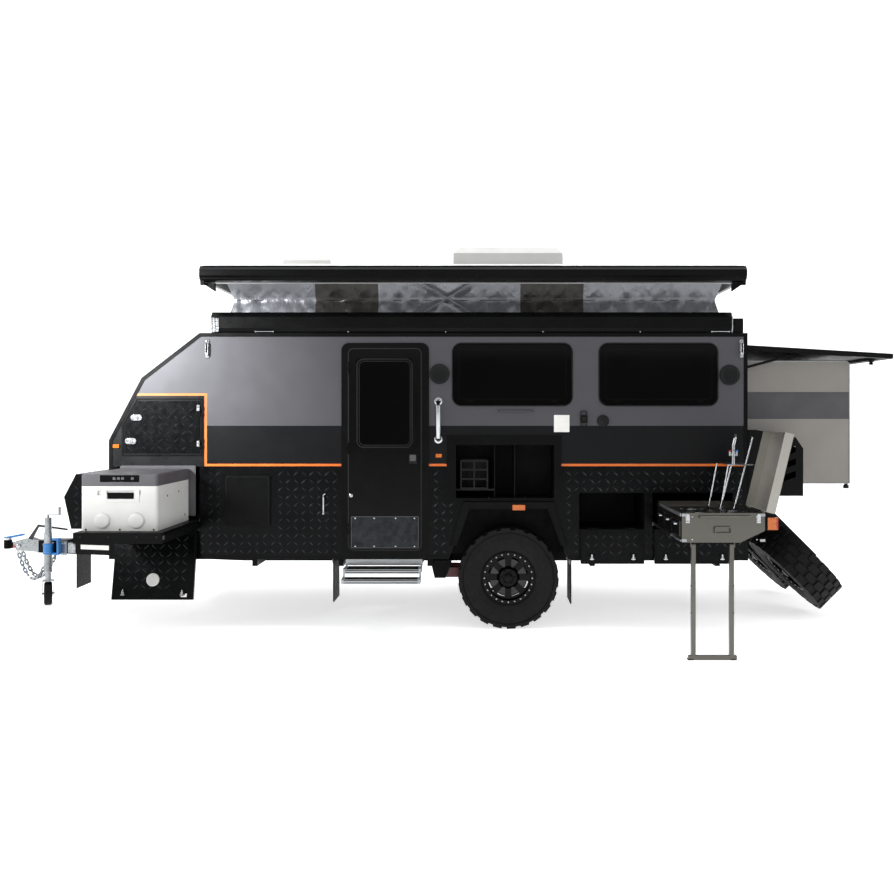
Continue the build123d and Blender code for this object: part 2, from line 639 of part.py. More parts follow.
def tool_locker_box():
    """Lining of the tool locker, whose front corner follows the nose."""
    y = (NEAR + WALL, NEAR + TOOL_DEPTH)
    grown = offset(Polygon(*TOOL_DOOR, align=None), LINER_T, kind=Kind.INTERSECTION)
    outer = extrude(side_plane(y[1]) * grown, y[1] - y[0], dir=(0, -1, 0))
    return outer - side_sheet(TOOL_DOOR, (y[0] - 1, y[1] - LINER_T))


def make_pantry():
    """Pantry recess with two dividers and its raised black frame."""
    x0, x1, z0, z1, _ = NEAR_OPENINGS["pantry"]
    box = locker_box("pantry", PANTRY_DEPTH)
    y = (NEAR + WALL, NEAR + PANTRY_DEPTH - LINER_T)
    shapes = [box] + [block((x, x + LINER_T), y, (z0, z1)) for x in PANTRY_DIVIDERS]
    return fused(shapes)


def make_pantry_frame():
    """Raised frame round the pantry, which also carries the folding lid's hinge line."""
    x0, x1, z0, z1, _ = NEAR_OPENINGS["pantry"]
    outer = pantry_frame_outline((NEAR - 16, NEAR))
    return outer - side_panel((x0, x1), (z0, z1), (NEAR - 17, NEAR + 1), 6)


def make_basket():
    """Open crate in the pantry's first bay."""
    x0, _, z0, _, _ = NEAR_OPENINGS["pantry"]
    x = (x0 + 34, PANTRY_DIVIDERS[0] - 46)
    y = (NEAR + 24, NEAR + PANTRY_DEPTH - 60)
    z = (z0 + 70, z0 + 300)
    t = 5
    crate = block(x, y, z) - block((x[0] + t, x[1] - t), (y[0] - 1, y[1] - t), (z[0] + t, z[1] + 1))
    rows = [block(x, (y[0], y[0] + t), (h, h + 12)) for h in (z[0], z[0] + 74, z[0] + 148, z[1] - 12)]
    posts = [block((c, c + 12), (y[0], y[0] + t), z) for c in (x[0], (x[0] + x[1]) / 2 - 6, x[1] - 12)]
    shelf = block((x0, PANTRY_DIVIDERS[0]), (NEAR + WALL, NEAR + PANTRY_DEPTH - LINER_T),
                  (z[0] - 12, z[0]))
    return fused([crate, shelf] + rows + posts)


def make_arch_liner():
    """Far side's inner wheel arch: a bent sheet closed towards the cabin."""
    y = (FAR - ARCH_DEPTH - ARCH_T, FAR - WALL)
    outer = side_sheet(arch_outline(ARCH_T), y)
    liner = outer - side_sheet(arch_outline(), (y[0] + ARCH_T, y[1] + 1))
    return liner & block((0, BODY_REAR_X), (0, FAR), (BODY_BOTTOM_Z, BODY_TOP_Z))


FENDER_OUT = 46


def make_fender():
    """Far side's fender: a folded lip that stands out round the wheel arch."""
    low, high, top = ARCH
    drop = 112
    outer = [(AXLE_X - low + 14, BODY_BOTTOM_Z + drop), (AXLE_X - high - 34, top + 34),
             (AXLE_X + high + 34, top + 34), (AXLE_X + low - 14, BODY_BOTTOM_Z + drop)]
    slope = (low - high) / (top - BODY_BOTTOM_Z + 20)
    foot = low - slope * (drop + 20)
    inner = [(AXLE_X - foot + 22, BODY_BOTTOM_Z + drop - 1), (AXLE_X - high + 22, top - 22),
             (AXLE_X + high - 22, top - 22), (AXLE_X + foot - 22, BODY_BOTTOM_Z + drop - 1)]
    face = side_sheet(outer, (FAR + SKIRT_T, FAR + FENDER_OUT))
    face -= side_sheet(inner, (FAR, FAR + FENDER_OUT + 1))
    return face


def make_flaps():
    """Stone and mud flaps: two behind the wheels, two ahead of them and one on the drawbar."""
    flaps = []
    for x, z0, y in ((AXLE_X + 492, 203, WHEEL_Y), (AXLE_X - 1404, 212, WHEEL_Y - 35)):
        sheet = block((x, x + 10), (y - 140, y + 140), (z0, BODY_BOTTOM_Z))
        flaps += mirrored(sheet)
    x, z0 = 690, 150
    flaps.append(block((x, x + 8), (-150, 150), (z0, RAIL_Z[0])))
    return flaps


# Nose box on the drawbar, in front of the body
NOSE_BOX_Y = FAR - 360
NOSE_BOX = [(BODY_FRONT_X, 1216), (949, 1216), (849, 1024), (908, 757), (BODY_FRONT_X, 757)]


def make_nose_box():
    """Closed storage box ahead of the body, with its sloping stone guard."""
    y = (-NOSE_BOX_Y, NOSE_BOX_Y)
    outer = side_sheet(NOSE_BOX, y)
    inner = offset(Polygon(*NOSE_BOX, align=None), -20, kind=Kind.INTERSECTION)
    hollow = extrude(side_plane(NOSE_BOX_Y - 20) * inner, 2 * NOSE_BOX_Y - 40, dir=(0, -1, 0))
    return outer - hollow


def make_nose_frame():
    """Feet that carry the nose box on the drawbar."""
    feet = []
    for x in (930, 1280):
        y = arm_y(x + 30)
        feet += mirrored(block((x, x + 60), (y - 20, y + 20), (RAIL_Z[1], NOSE_BOX[3][1])))
        feet.append(block((x, x + 60), (-y + 20, y - 20), (NOSE_BOX[3][1] - 50, NOSE_BOX[3][1])))
    return feet


# Hinges, doors and windows
HINGE_R = 6
HINGE_PIN_R = 3
HINGE_PLAY = 0.5


def butt_hinge(length, reach=24):
    """Hinge about Z: fixed leaf towards -X, moving leaf towards +X, both against +Y."""
    third = length / 3
    plate_y = (HINGE_R - 4, HINGE_R)
    fixed, moving = [], []
    for z in (0, 2 * third):
        fixed.append(rod_z(0, 0, (z, z + third - HINGE_PLAY), HINGE_R))
        fixed.append(block((-reach, 0), plate_y, (z, z + third - HINGE_PLAY)))
    fixed.append(rod_z(0, 0, (0, length - HINGE_PLAY), HINGE_PIN_R))
    middle = (third, 2 * third - HINGE_PLAY)
    moving.append(rod_z(0, 0, middle, HINGE_R))
    moving.append(block((0, reach), plate_y, middle))
    knuckle = fused(moving) - rod_z(0, 0, (0, length), HINGE_PIN_R + 0.1)
    return fused(fixed), knuckle


def swung(shape, at, axis, angle):
    """A shape turned about an axis through a point."""
    return shape.rotate(Axis(at, axis), angle)


DOOR_HINGE = (DOOR_LEAF[0] - PANEL_GAP / 2, FACE - HINGE_R)
DOOR_HINGE_Z = (760, 1400, 2040)
DOOR_WINDOW = (3334, 3788, 1453, 2162)


def make_door_frame():
    """Black frame of the entry door: a flange, a liner through the wall and a rear stop."""
    lx0, lx1, lz0, lz1, leaf_r = DOOR_LEAF
    g = PANEL_GAP
    hole = side_panel((lx0 - g, lx1 + g), (lz0 - g, lz1 + g), (FACE - 1, FAR), leaf_r + g)
    flange = door_frame_outline((FACE, NEAR))
    ox0, ox1, oz0, oz1, o_r = NEAR_OPENINGS["door"]
    liner = side_panel((ox0, ox1), (oz0, oz1), (NEAR, NEAR + WALL), o_r)
    stop_y = (FACE + DOOR_T + 6, FACE + DOOR_T + 14)
    stop = side_frame((ox0, ox1), (oz0, oz1), stop_y, o_r, 56)
    liner_back = side_frame((ox0, ox1), (oz0, oz1), (NEAR + WALL, stop_y[1]), o_r, 20)
    return fused([flange - hole, liner - hole, stop, liner_back])


def make_door_leaf():
    """Entry door leaf with its window cut, pressed border and kick plate."""
    x0, x1, z0, z1, r = DOOR_LEAF
    leaf = side_panel((x0, x1), (z0, z1), (FACE, FACE + DOOR_T), r)
    wx0, wx1, wz0, wz1 = DOOR_WINDOW
    leaf -= side_panel((wx0, wx1), (wz0, wz1), (FACE - 1, FACE + DOOR_T + 1), 40)
    kick = side_panel((x0 + 20, x1 - 20), (z0 + 16, z0 + 262), (FACE - 2, FACE), 4)
    rim = side_frame((wx0 - 26, wx1 + 26), (wz0 - 26, wz1 + 26), (FACE - 5, FACE), 60, 26)
    return fused([leaf, kick, rim])


def door_glass():
    """Pane of the entry door."""
    x0, x1, z0, z1 = DOOR_WINDOW
    return side_panel((x0, x1), (z0, z1), (FACE + 2, FACE + 14), 40)


def door_handle():
    """Latch handle in its dished plate, with the lever across it."""
    x, z = (3746, 3830), (1312, 1408)
    plate = side_panel(x, z, (FACE - 8, FACE), 12)
    plate -= side_panel((x[0] + 12, x[1] - 12), (z[0] + 12, z[1] - 12), (FACE - 9, FACE - 4), 8)
    lever = side_panel((x[0] + 20, x[1] - 20), (z[0] + 30, z[1] - 16), (FACE - 16, FACE - 4), 6)
    return fused([plate, lever])


def door_hinges():
    """Fixed and moving halves of the entry door's hinges."""
    fixed, moving = [], []
    for z in DOOR_HINGE_Z:
        halves = butt_hinge(90)
        place = Pos(DOOR_HINGE[0], DOOR_HINGE[1], z)
        fixed.append(place * halves[0])
        moving.append(place * halves[1])
    return fixed, moving


# Tool locker door, hinged on its rear edge
TOOL_FACE = NEAR - 6
TOOL_HINGE = (TOOL_DOOR[1][0], TOOL_FACE - HINGE_R)
TOOL_HINGE_Z = (1440, 1700)
TOOL_LEAF_T = 26


def tool_outline(grow):
    """The tool locker's outline, drawn out by a distance."""
    return offset(Polygon(*TOOL_DOOR, align=None), grow, kind=Kind.INTERSECTION)


def make_tool_frame():
    """Raised rim that frames the tool locker's opening."""
    ring = tool_outline(14) - tool_outline(0)
    return extrude(side_plane(NEAR) * ring, NEAR - TOOL_FACE, dir=(0, -1, 0))


def make_tool_door():
    """Checker-plate leaf inside the rim, with its two paddle latches."""
    leaf = extrude(side_plane(TOOL_FACE + TOOL_LEAF_T) * tool_outline(-PANEL_GAP), TOOL_LEAF_T,
                   dir=(0, -1, 0))
    shapes = [leaf]
    for x, z in ((1590, 1688), (1545, 1501)):
        plate = Ellipse(44, 24)
        shapes.append(extrude(side_plane(TOOL_FACE) * Pos(x, z) * plate, 7, dir=(0, -1, 0)))
    return fused(shapes)


def tool_hinges():
    """Fixed and moving halves of the tool locker's hinges, opening the other way round."""
    fixed, moving = [], []
    for z in TOOL_HINGE_Z:
        halves = butt_hinge(70, 30)
        place = Pos(TOOL_HINGE[0] - PANEL_GAP / 2, TOOL_HINGE[1], z)
        turn = [mirror(half, Plane.YZ) for half in halves]
        fixed.append(place * turn[0])
        moving.append(place * turn[1])
    return fixed, moving


# Drop doors: leaves hinged along their lower edge, which hang open below it
DROP_T = 22
DROP_FACE = NEAR - SKIRT_T
DROP_ANGLE = {"tunnel": 168, "storage": 178, "kitchen": 178}


def drop_axis(name):
    """Point on the hinge line of a drop door."""
    x0, _, z0, _, _ = NEAR_OPENINGS[name]
    return (x0, DROP_FACE - HINGE_R, z0 + PANEL_GAP / 2)


def drop_leaf(name, extra=0):
    """A drop door's leaf as it closes its opening, with a folded rim on its inner face."""
    x0, x1, z0, z1, r = NEAR_OPENINGS[name]
    g = PANEL_GAP
    y = (DROP_FACE, DROP_FACE + DROP_T)
    leaf = side_panel((x0 + g, x1 - g), (z0 + g, z1 - g + extra), y, r)
    hollow = side_panel((x0 + g + 16, x1 - g - 16), (z0 + g + 16, z1 - g - 16 + extra),
                        (y[0] + 4, y[1] + 1), r)
    latches = []
    for x in (x0 + 96, x1 - 96):
        latches.append(rod_y(x, (DROP_FACE + DROP_T - 2, DROP_FACE + DROP_T + 10), z1 - 62 + extra, 24))
        latches.append(block((x - 26, x + 26), (DROP_FACE + 4, DROP_FACE + DROP_T),
                             (z1 - 88 + extra, z1 - 36 + extra)))
    return fused([leaf - hollow] + latches)


def drop_hinges(name):
    """Fixed and moving halves of a drop door's hinges, as the door is closed."""
    x0, x1, z0, z1, _ = NEAR_OPENINGS[name]
    fixed, moving = [], []
    for x in (x0 + 70, x1 - 150):
        halves = butt_hinge(80, 18)
        base = Plane(origin=(x, DROP_FACE - HINGE_R, z0 + PANEL_GAP / 2), x_dir=(0, 0, 1),
                     z_dir=(1, 0, 0))
        flipped = [mirror(half, Plane.XZ) for half in halves]
        fixed.append(base * flipped[0])
        moving.append(base * flipped[1])
    return fixed, moving


def make_drop_door(name, extra=0):
    """A drop door with its moving hinge halves, swung open to hang."""
    closed = fused([drop_leaf(name, extra)] + drop_hinges(name)[1])
    return swung(closed, drop_axis(name), (1, 0, 0), DROP_ANGLE[name])


def window(x0, x1, z0, z1, r, side):
    """Pane that stands proud of the wall over its opening, with a plug inside it."""
    rim = 18
    outer = side_panel((x0 - rim, x1 + rim), (z0 - rim, z1 + rim), (NEAR - 14, NEAR), r + rim)
    outer = chamfer(outer.faces().sort_by(Axis.Y)[0].edges(), 5)
    plug = side_panel((x0, x1), (z0, z1), (NEAR, NEAR + 10), r)
    pane = fused([outer, plug])
    return pane if side < 0 else mirror(pane, Plane.XZ)


def make_windows():
    """The two near windows and the two far ones."""
    panes = []
    for side, table in ((-1, NEAR_OPENINGS), (1, FAR_OPENINGS)):
        for name, limits in table.items():
            if name.startswith("window"):
                panes.append(window(*limits, side))
    return panes


def make_far_door():
    """Closed drop door of the tunnel's far side, with its two latches."""
    x0, x1, z0, z1, r = FAR_OPENINGS["tunnel"]
    g = PANEL_GAP / 2
    leaf = side_panel((x0 + g, x1 - g), (z0 + g, z1 - g), (FAR - DROP_T, FAR + SKIRT_T), r)
    rim = side_frame((x0 - 16, x1 + 16), (z0 - 16, z1 + 16), (FAR + SKIRT_T, FAR + 6), r, 30)
    latches = [rod_y(x, (FAR + SKIRT_T, FAR + 12), z1 - 70, 24) for x in (x0 + 110, x1 - 110)]
    return fused([leaf, rim] + latches)


# Entry step: two treads on folding arms
STEP_X = (3264, 3848)
STEP_TREADS = ((NEAR - 150, NEAR + 20, 502), (NEAR - 250, NEAR - 130, 440))
TREAD_T = 32


def make_step():
    """Treads as hollow planks between zig-zag arms that hang from a fixed slide box."""
    shapes = []
    for y0, y1, z in STEP_TREADS:
        tread = block(STEP_X, (y0, y1), (z - TREAD_T, z))
        tread -= block((STEP_X[0] - 1, STEP_X[1] + 1), (y0 + 4, y1 - 4), (z - TREAD_T + 4, z - 4))
        shapes.append(tread)
    (upper_y0, upper_y1, upper_z), (lower_y0, lower_y1, lower_z) = STEP_TREADS
    for x in (STEP_X[0] - 12, STEP_X[1]):
        outline = [(NEAR + 60, BODY_BOTTOM_Z), (NEAR + 60, BODY_BOTTOM_Z - 50),
                   (upper_y1 - 40, upper_z - TREAD_T), (lower_y1 + 10, upper_z - TREAD_T),
                   (lower_y1 + 10, lower_z - TREAD_T), (lower_y0, lower_z - TREAD_T), (lower_y0, lower_z),
                   (upper_y0 - 10, lower_z + 6), (upper_y0 - 10, upper_z + 6), (NEAR + 10, upper_z + 6),
                   (NEAR + 10, BODY_BOTTOM_Z)]
        shapes.append(cross_sheet(outline, (x, x + 12)))
    box = block((STEP_X[0] - 12, STEP_X[1] + 12), (NEAR + 8, NEAR + 420),
                (BODY_BOTTOM_Z - 50, BODY_BOTTOM_Z))
    shapes.append(box)
    return fused(shapes)


# Fittings on the near side: x and z of each, from the front to the rear
SPEAKERS = ((3999, 2034), (BODY_REAR_X - 143, 2026))
GRAB_HANDLE = (3990, 1508, 1822)
TOGGLES = ((2151, 2241), (BODY_REAR_X - 50, 2241))
MARKERS = ((3993, 1385), (1427, 1461))
VENT_COVER = (2293, 2655, 824, 1230)


def make_fittings():
    """Speakers, grab handle, roof toggles, door stay, socket covers and the square vent."""
    shapes = []
    for x, z in SPEAKERS:
        shapes.append(rod_y(x, (NEAR - 16, NEAR), z, 80))
    x, low, high = GRAB_HANDLE
    grip = rod_z(x, NEAR - 44, (low, high), 13)
    for z in (low, high - 24):
        grip = fused([grip, block((x - 16, x + 16), (NEAR - 44, NEAR), (z, z + 24))])
    shapes.append(grip)
    for x, z in TOGGLES:
        base = block((x - 15, x + 15), (NEAR - 6, NEAR), (z - 80, z + 70))
        loop = block((x - 9, x + 9), (NEAR - 22, NEAR - 6), (z - 60, z + 40))
        shapes.append(fused([base, loop]))
    x0, x1, z0, z1 = VENT_COVER
    shapes.append(side_panel((x0, x1), (z0, z1), (NEAR - 16, NEAR - SKIRT_T), 14))
    stay_x, stay_z = 3079, (927, 1079)
    stay = block((stay_x - 12, stay_x + 12), (NEAR - 40, NEAR - SKIRT_T), (stay_z[1] - 24, stay_z[1]))
    stay = fused([stay, rod_z(stay_x, NEAR - 34, (stay_z[0], stay_z[1] - 24), 6),
                  block((stay_x - 12, stay_x + 12), (NEAR - 40, NEAR - SKIRT_T),
                        (stay_z[0], stay_z[0] + 14))])
    shapes.append(stay)
    shapes.append(side_panel((5118, 5176), (1646, 1706), (NEAR - 18, NEAR), 10))
    shapes.append(rod_y(5300, (NEAR - 12, NEAR), 1660, 48))
    return shapes


def make_lamps():
    """Marker lamps of both sides, the fender's reflectors and the rear lamp blocks."""
    shapes = []
    for x, z in MARKERS:
        lamp = side_panel((x - 24, x + 24), (z - 14, z + 14), (FAR, FAR + 14), 4)
        shapes += mirrored(lamp)
    side = side_panel((AXLE_X + 30, AXLE_X + 130), (955, 997), (FAR + FENDER_OUT, FAR + FENDER_OUT + 10), 6)
    shapes += mirrored(side)
    return shapes


# Awning along the near edge of the roof deck, and the roof that lifts
AWNING_X = (BODY_FRONT_X + 813, BODY_REAR_X - 124)
AWNING_Z = (BODY_TOP_Z, BODY_TOP_Z + 168)
ROOF_X = (BODY_FRONT_X + 783, BODY_REAR_X - 61)
ROOF_Y = FAR + 30
ROOF_Z = (2753, 2888)
ROOF_T = 32
CROWN_TOP_Z = 3013
CROWN_Y = 420
CROWN_SLOPE = 450
CAB_SKIRT_Y = FAR - 215
SKIRT_X = (ROOF_X[0] + 56, ROOF_X[1] - 44)
FABRIC_T = 6
SKIRT_FOLD = 90


def make_awning():
    """Rolled awning in its case, on the near edge of the deck."""
    z0, z1 = AWNING_Z
    outline = [(NEAR - 6, z0 + 40), (NEAR + 14, z0), (NEAR + 130, z0), (NEAR + 130, z1 - 50),
               (NEAR + 96, z1), (NEAR + 30, z1), (NEAR - 6, z1 - 40)]
    return cross_sheet(outline, AWNING_X)


def crown_outline(drop, edge, low):
    """Cross section under the crowned top, lowered by a drop and cut square at an edge."""
    top = CROWN_TOP_Z - drop
    shoulder = ROOF_Z[1] + 60 - drop
    side = [(-edge, low), (-edge, shoulder), (-CROWN_Y, top)]
    return side + [(-y, z) for y, z in reversed(side)]


def make_roof():
    """Lifting roof: a shallow tray open below, with a ledge for the fabric and a crowned top."""
    z0, z1 = ROOF_Z
    t = ROOF_T
    inner_x = (ROOF_X[0] + t, ROOF_X[1] - t)
    crown = block(ROOF_X, (-ROOF_Y, ROOF_Y), (z0, z1))
    crown += cross_sheet(crown_outline(0, ROOF_Y - 260, z1), ROOF_X)
    bevel = [(-ROOF_Y, z1), (-ROOF_Y + 260, z1), (-ROOF_Y + 260, z1 + 60)]
    crown = fused([crown] + mirrored(cross_sheet(bevel, ROOF_X)))
    x0 = ROOF_X[0]
    slope = [(x0 - 1, z1 + 4), (x0, z1 + 4), (x0 + CROWN_SLOPE, CROWN_TOP_Z + 1),
             (x0 - 1, CROWN_TOP_Z + 1)]
    crown -= side_sheet(slope, (-ROOF_Y - 1, ROOF_Y + 1))
    crown -= block(inner_x, (-ROOF_Y + t, ROOF_Y - t), (z0 - 1, z1 - t))
    ledge = CAB_SKIRT_Y - 60
    hollow_x = (x0 + CROWN_SLOPE, SKIRT_X[1] - 60)
    return crown - cross_sheet(crown_outline(t, ledge, z1 - t - 1), hollow_x)


def make_roof_edge():
    """Awning roll on the roof's near edge, with its wedge-shaped end brackets."""
    z0, z1 = ROOF_Z
    outline = [(-ROOF_Y, z0 + 4), (-ROOF_Y - 60, z0 + 12), (-ROOF_Y - 92, z0 + 50),
               (-ROOF_Y - 92, z1 - 44), (-ROOF_Y - 60, z1 - 8), (-ROOF_Y, z1)]
    roll = cross_sheet(outline, (ROOF_X[0] - 30, ROOF_X[1] + 24))
    ends = []
    for x in (ROOF_X[0] - 30, ROOF_X[1] - 6):
        ends.append(side_sheet([(x, z0 - 20), (x + 30, z0 - 20), (x + 30, z0 + 60), (x, z0 + 60)],
                               (-ROOF_Y - 60, -ROOF_Y - 20)))
    return fused([roll] + ends)


def make_roof_skirt():
    """Fabric wall between deck and roof, pinched inwards at half height."""
    z0, z1 = BODY_TOP_Z, ROOF_Z[1] - ROOF_T
    low, mid, high = (Plane.XY.offset(z) for z in (z0, (z0 + z1) / 2, z1))
    centre = Pos((SKIRT_X[0] + SKIRT_X[1]) / 2, 0)
    sizes = (0, SKIRT_FOLD, 0)
    length, width = SKIRT_X[1] - SKIRT_X[0], 2 * CAB_SKIRT_Y
    shells = []
    for t in (0, FABRIC_T):
        rings = []
        for plane, fold in zip((low, mid, high), sizes):
            rings.append(plane * centre * Rectangle(length - 2 * fold - 2 * t, width - 2 * fold - 2 * t))
        shells.append(loft(rings[:2], ruled=True) + loft(rings[1:], ruled=True))
    return shells[0] - shells[1]


# Things on the roof: limits in x and y, and their height above the crown
AIRCON = ((4085, 5045), (-360, 360), 176)
ROOF_VENT = ((2604, 3018), (-CROWN_Y, -20), 80)


def make_aircon():
    """Air conditioner with chamfered shell on the crown."""
    x, y, height = AIRCON
    base = CROWN_TOP_Z
    shell = block(x, y, (base, base + height))
    top = shell.faces().sort_by(Axis.Z)[-1].edges()
    return chamfer(top, 60)


def make_roof_vent():
    """Domed roof vent on the crown."""
    x, y, height = ROOF_VENT
    lid = block(x, y, (CROWN_TOP_Z, CROWN_TOP_Z + height))
    return chamfer(lid.faces().sort_by(Axis.Z)[-1].edges(), 36)


# Fridge on its slide, pulled out of the tunnel, with the tunnel's door hanging below
RUNNER_T = 6
TRAY_X = (1448, 2075)
TRAY_Y = (NEAR - FRIDGE_TRAVEL + 20, NEAR + 20)
TRAY_Z = (798, 876)
TRAY_TAIL = 240
FRIDGE = ((TRAY_X[0] + 14, TRAY_X[1] - 63), (TRAY_Y[0] + 100, NEAR - 22), (TRAY_Z[1], 1284))
FRIDGE_LID_Z = 1198
FRIDGE_WALL = 45


def tunnel_runners():
    """Fixed halves of the fridge slide, on the tunnel's two side walls."""
    x0, x1 = NEAR_OPENINGS["tunnel"][:2]
    y = (NEAR + WALL, NEAR + WALL + FRIDGE_TRAVEL + TRAY_TAIL - 40)
    z = (TRAY_Z[0] + 6, TRAY_Z[1] - 14)
    return [block((x0, x0 + RUNNER_T), y, z), block((x1 - RUNNER_T, x1), y, z)]


def make_tray():
    """Sliding tray: deep side rails, a front rail, a floor and the moving runners."""
    x, y, z = TRAY_X, TRAY_Y, TRAY_Z
    t = 20
    tray = block(x, y, z) - block((x[0] + t, x[1] - t), (y[0] + t, y[1] - t), (z[0] - 1, z[1] - 8))
    x0, x1 = NEAR_OPENINGS["tunnel"][:2]
    bar_y = (y[0] + 60, y[1] + TRAY_TAIL)
    bar_z = (z[0] + 10, z[1] - 20)
    bars = [block((x0 + RUNNER_T + SEAT, x[0]), bar_y, bar_z),
            block((x[1], x1 - RUNNER_T - SEAT), bar_y, bar_z)]
    return fused([tray] + bars)


def make_fridge():
    """Fridge body with its compartment open to the lid and round vents on the near end."""
    x, y, z = FRIDGE
    body = block(x, y, (z[0], FRIDGE_LID_Z))
    body = fillet(body.edges().filter_by(Axis.Z), 22)
    w = FRIDGE_WALL
    body -= block((x[0] + w, x[1] - w), (y[0] + 190, y[1] - w), (z[0] + w, FRIDGE_LID_Z + 1))
    body -= block((x[0] + 120, x[1] - 120), (y[0] - 1, y[0] + 12), (z[1] - 150, z[1] - 118))
    vents = [rod_y(vx, (y[0] - 7, y[0]), z[0] + 74, 56) for vx in (x[0] + 152, x[1] - 152)]
    return fused([body] + vents)


def make_fridge_lid():
    """Lid with its control strip, hinged along its front long edge."""
    x, y, z = FRIDGE
    lid = block(x, y, (FRIDGE_LID_Z + 2, z[1]))
    lid = fillet(lid.edges().filter_by(Axis.Z), 22)
    lid = chamfer(lid.faces().sort_by(Axis.Z)[-1].edges(), 8)
    return lid


def lid_hinge():
    """Fixed and moving halves of the fridge lid's two hinges, on its front face."""
    x, y, _ = FRIDGE
    fixed, moving = [], []
    for hinge_y in (y[0] + 160, y[1] - 220):
        halves = butt_hinge(60, 20)
        base = Plane(origin=(x[0] - HINGE_R, hinge_y, FRIDGE_LID_Z + 1), x_dir=(0, 0, 1),
                     z_dir=(0, 1, 0))
        fixed.append(base * halves[0])
        moving.append(base * halves[1])
    return fixed, moving


# Kitchen, slid out over its folded leg, with its lid open
KITCHEN_X = (NEAR_OPENINGS["kitchen"][0] + 34, NEAR_OPENINGS["kitchen"][1] - 28)
KITCHEN_Y = (NEAR - KITCHEN_REACH, NEAR - 20)
KITCHEN_Z = (820, 1026)
KITCHEN_T = 4
HOB_DEPTH = 34
KITCHEN_LID_Y = (KITCHEN_Y[0], KITCHEN_Y[0] + 513)
KITCHEN_LID_T = 64
KITCHEN_LID_ANGLE = 103.5
KITCHEN_LID_AXIS = (KITCHEN_X[1] + HINGE_R, KITCHEN_LID_Y[0], KITCHEN_Z[1] + 1)
LEG_X = (KITCHEN_X[0] + 68, KITCHEN_X[0] + 365)
LEG_TUBE = 30
BURNERS = [(KITCHEN_X[0] + dx, KITCHEN_Y[0] + dy)
           for dx, dy in ((152, 136), (152, 386), (422, 266))]
LEG_PIVOT = (KITCHEN_Y[0] + 22, KITCHEN_Z[0] - 20)


def kitchen_outline(t=0):
    """The kitchen's end face: a box whose lower rear corner is cut away."""
    (x0, x1), (z0, z1) = KITCHEN_X, KITCHEN_Z
    return [(x0 + t, z0 + t), (x1 - 170 - t / 2, z0 + t), (x1 - t, z0 + 82 + t / 2), (x1 - t, z1 + 1),
            (x0 + t, z1 + 1)] if t else [(x0, z0), (x1 - 170, z0), (x1, z0 + 82), (x1, z1), (x0, z1)]


def make_kitchen():
    """Stainless box, open to the top as a shallow hob pan with a sink bowl at its inner end."""
    y = KITCHEN_Y
    t = KITCHEN_T
    z1 = KITCHEN_Z[1]
    body = side_sheet(kitchen_outline(), y)
    body -= block((KITCHEN_X[0] + t, KITCHEN_X[1] - t), (y[0] + t, y[1] - t), (z1 - HOB_DEPTH, z1 + 1))
    hollow = side_sheet(kitchen_outline(t), (y[0] + t, y[1] - t))
    body -= hollow & block((0, BODY_REAR_X), y, (0, z1 - HOB_DEPTH - t))
    sink = ((KITCHEN_X[0] + 70, KITCHEN_X[0] + 390), (y[1] - 330, y[1] - 50))
    body -= block(*sink, (z1 - HOB_DEPTH - t - 1, z1 - HOB_DEPTH + 1))
    bowl = block(*sink, (z1 - 170, z1 - HOB_DEPTH - t))
    bowl -= block((sink[0][0] + t, sink[0][1] - t), (sink[1][0] + t, sink[1][1] - t),
                  (z1 - 170 + t, z1))
    rail = rod_x((KITCHEN_X[0] + 120, KITCHEN_X[1] - 100), y[0] - 22, z1 - 28, 8)
    stems = [rod_y(KITCHEN_X[0] + dx, (y[0] - 22, y[0]), z1 - 28, 7) for dx in (132, 240, 342, 462)]
    handle = side_frame((KITCHEN_X[0] + 224, KITCHEN_X[0] + 344), (z1 - 146, z1 - 94),
                        (y[0] - 20, y[0]), 12, 10)
    drawers = [block((KITCHEN_X[0] - 6, KITCHEN_X[0]), (a, a + 250), (z1 - 170, z1 - 60))
               for a in (y[0] + 60, y[0] + 340, y[0] + 620)]
    return fused([body, bowl, rail, handle] + stems + drawers)


def kitchen_runners():
    """Slide members from the bay's walls out along both sides of the kitchen."""
    x0, x1 = NEAR_OPENINGS["kitchen"][:2]
    bay_y = (NEAR + WALL, NEAR + LOCKER_DEPTH["kitchen"] - LINER_T)
    arm_y = (KITCHEN_Y[0] + 300, NEAR + 420)
    shapes = []
    for wall_x, side, body_x, z in ((x0, 1, KITCHEN_X[0], 822), (x1, -1, KITCHEN_X[1], 912)):
        mid = wall_x + side * 14
        shapes.append(fused([block(sorted((wall_x, mid)), bay_y, (z, z + 30)),
                             block(sorted((mid, body_x)), arm_y, (z + 4, z + 26))]))
    return shapes


def make_hob():
    """Burners with their pan supports in the hob pan, and the gas knobs."""
    top = KITCHEN_Z[1] - HOB_DEPTH
    shapes = []
    for x, y in BURNERS:
        burner = rod_z(x, y, (top, top + 14), 52) + rod_z(x, y, (top + 14, top + 22), 34)
        bars = [block((x - 84, x + 84), (y - 4, y + 4), (top + 22, top + 30)),
                block((x - 4, x + 4), (y - 84, y + 84), (top + 22, top + 30))]
        shapes.append(fused([burner] + bars))
    return shapes


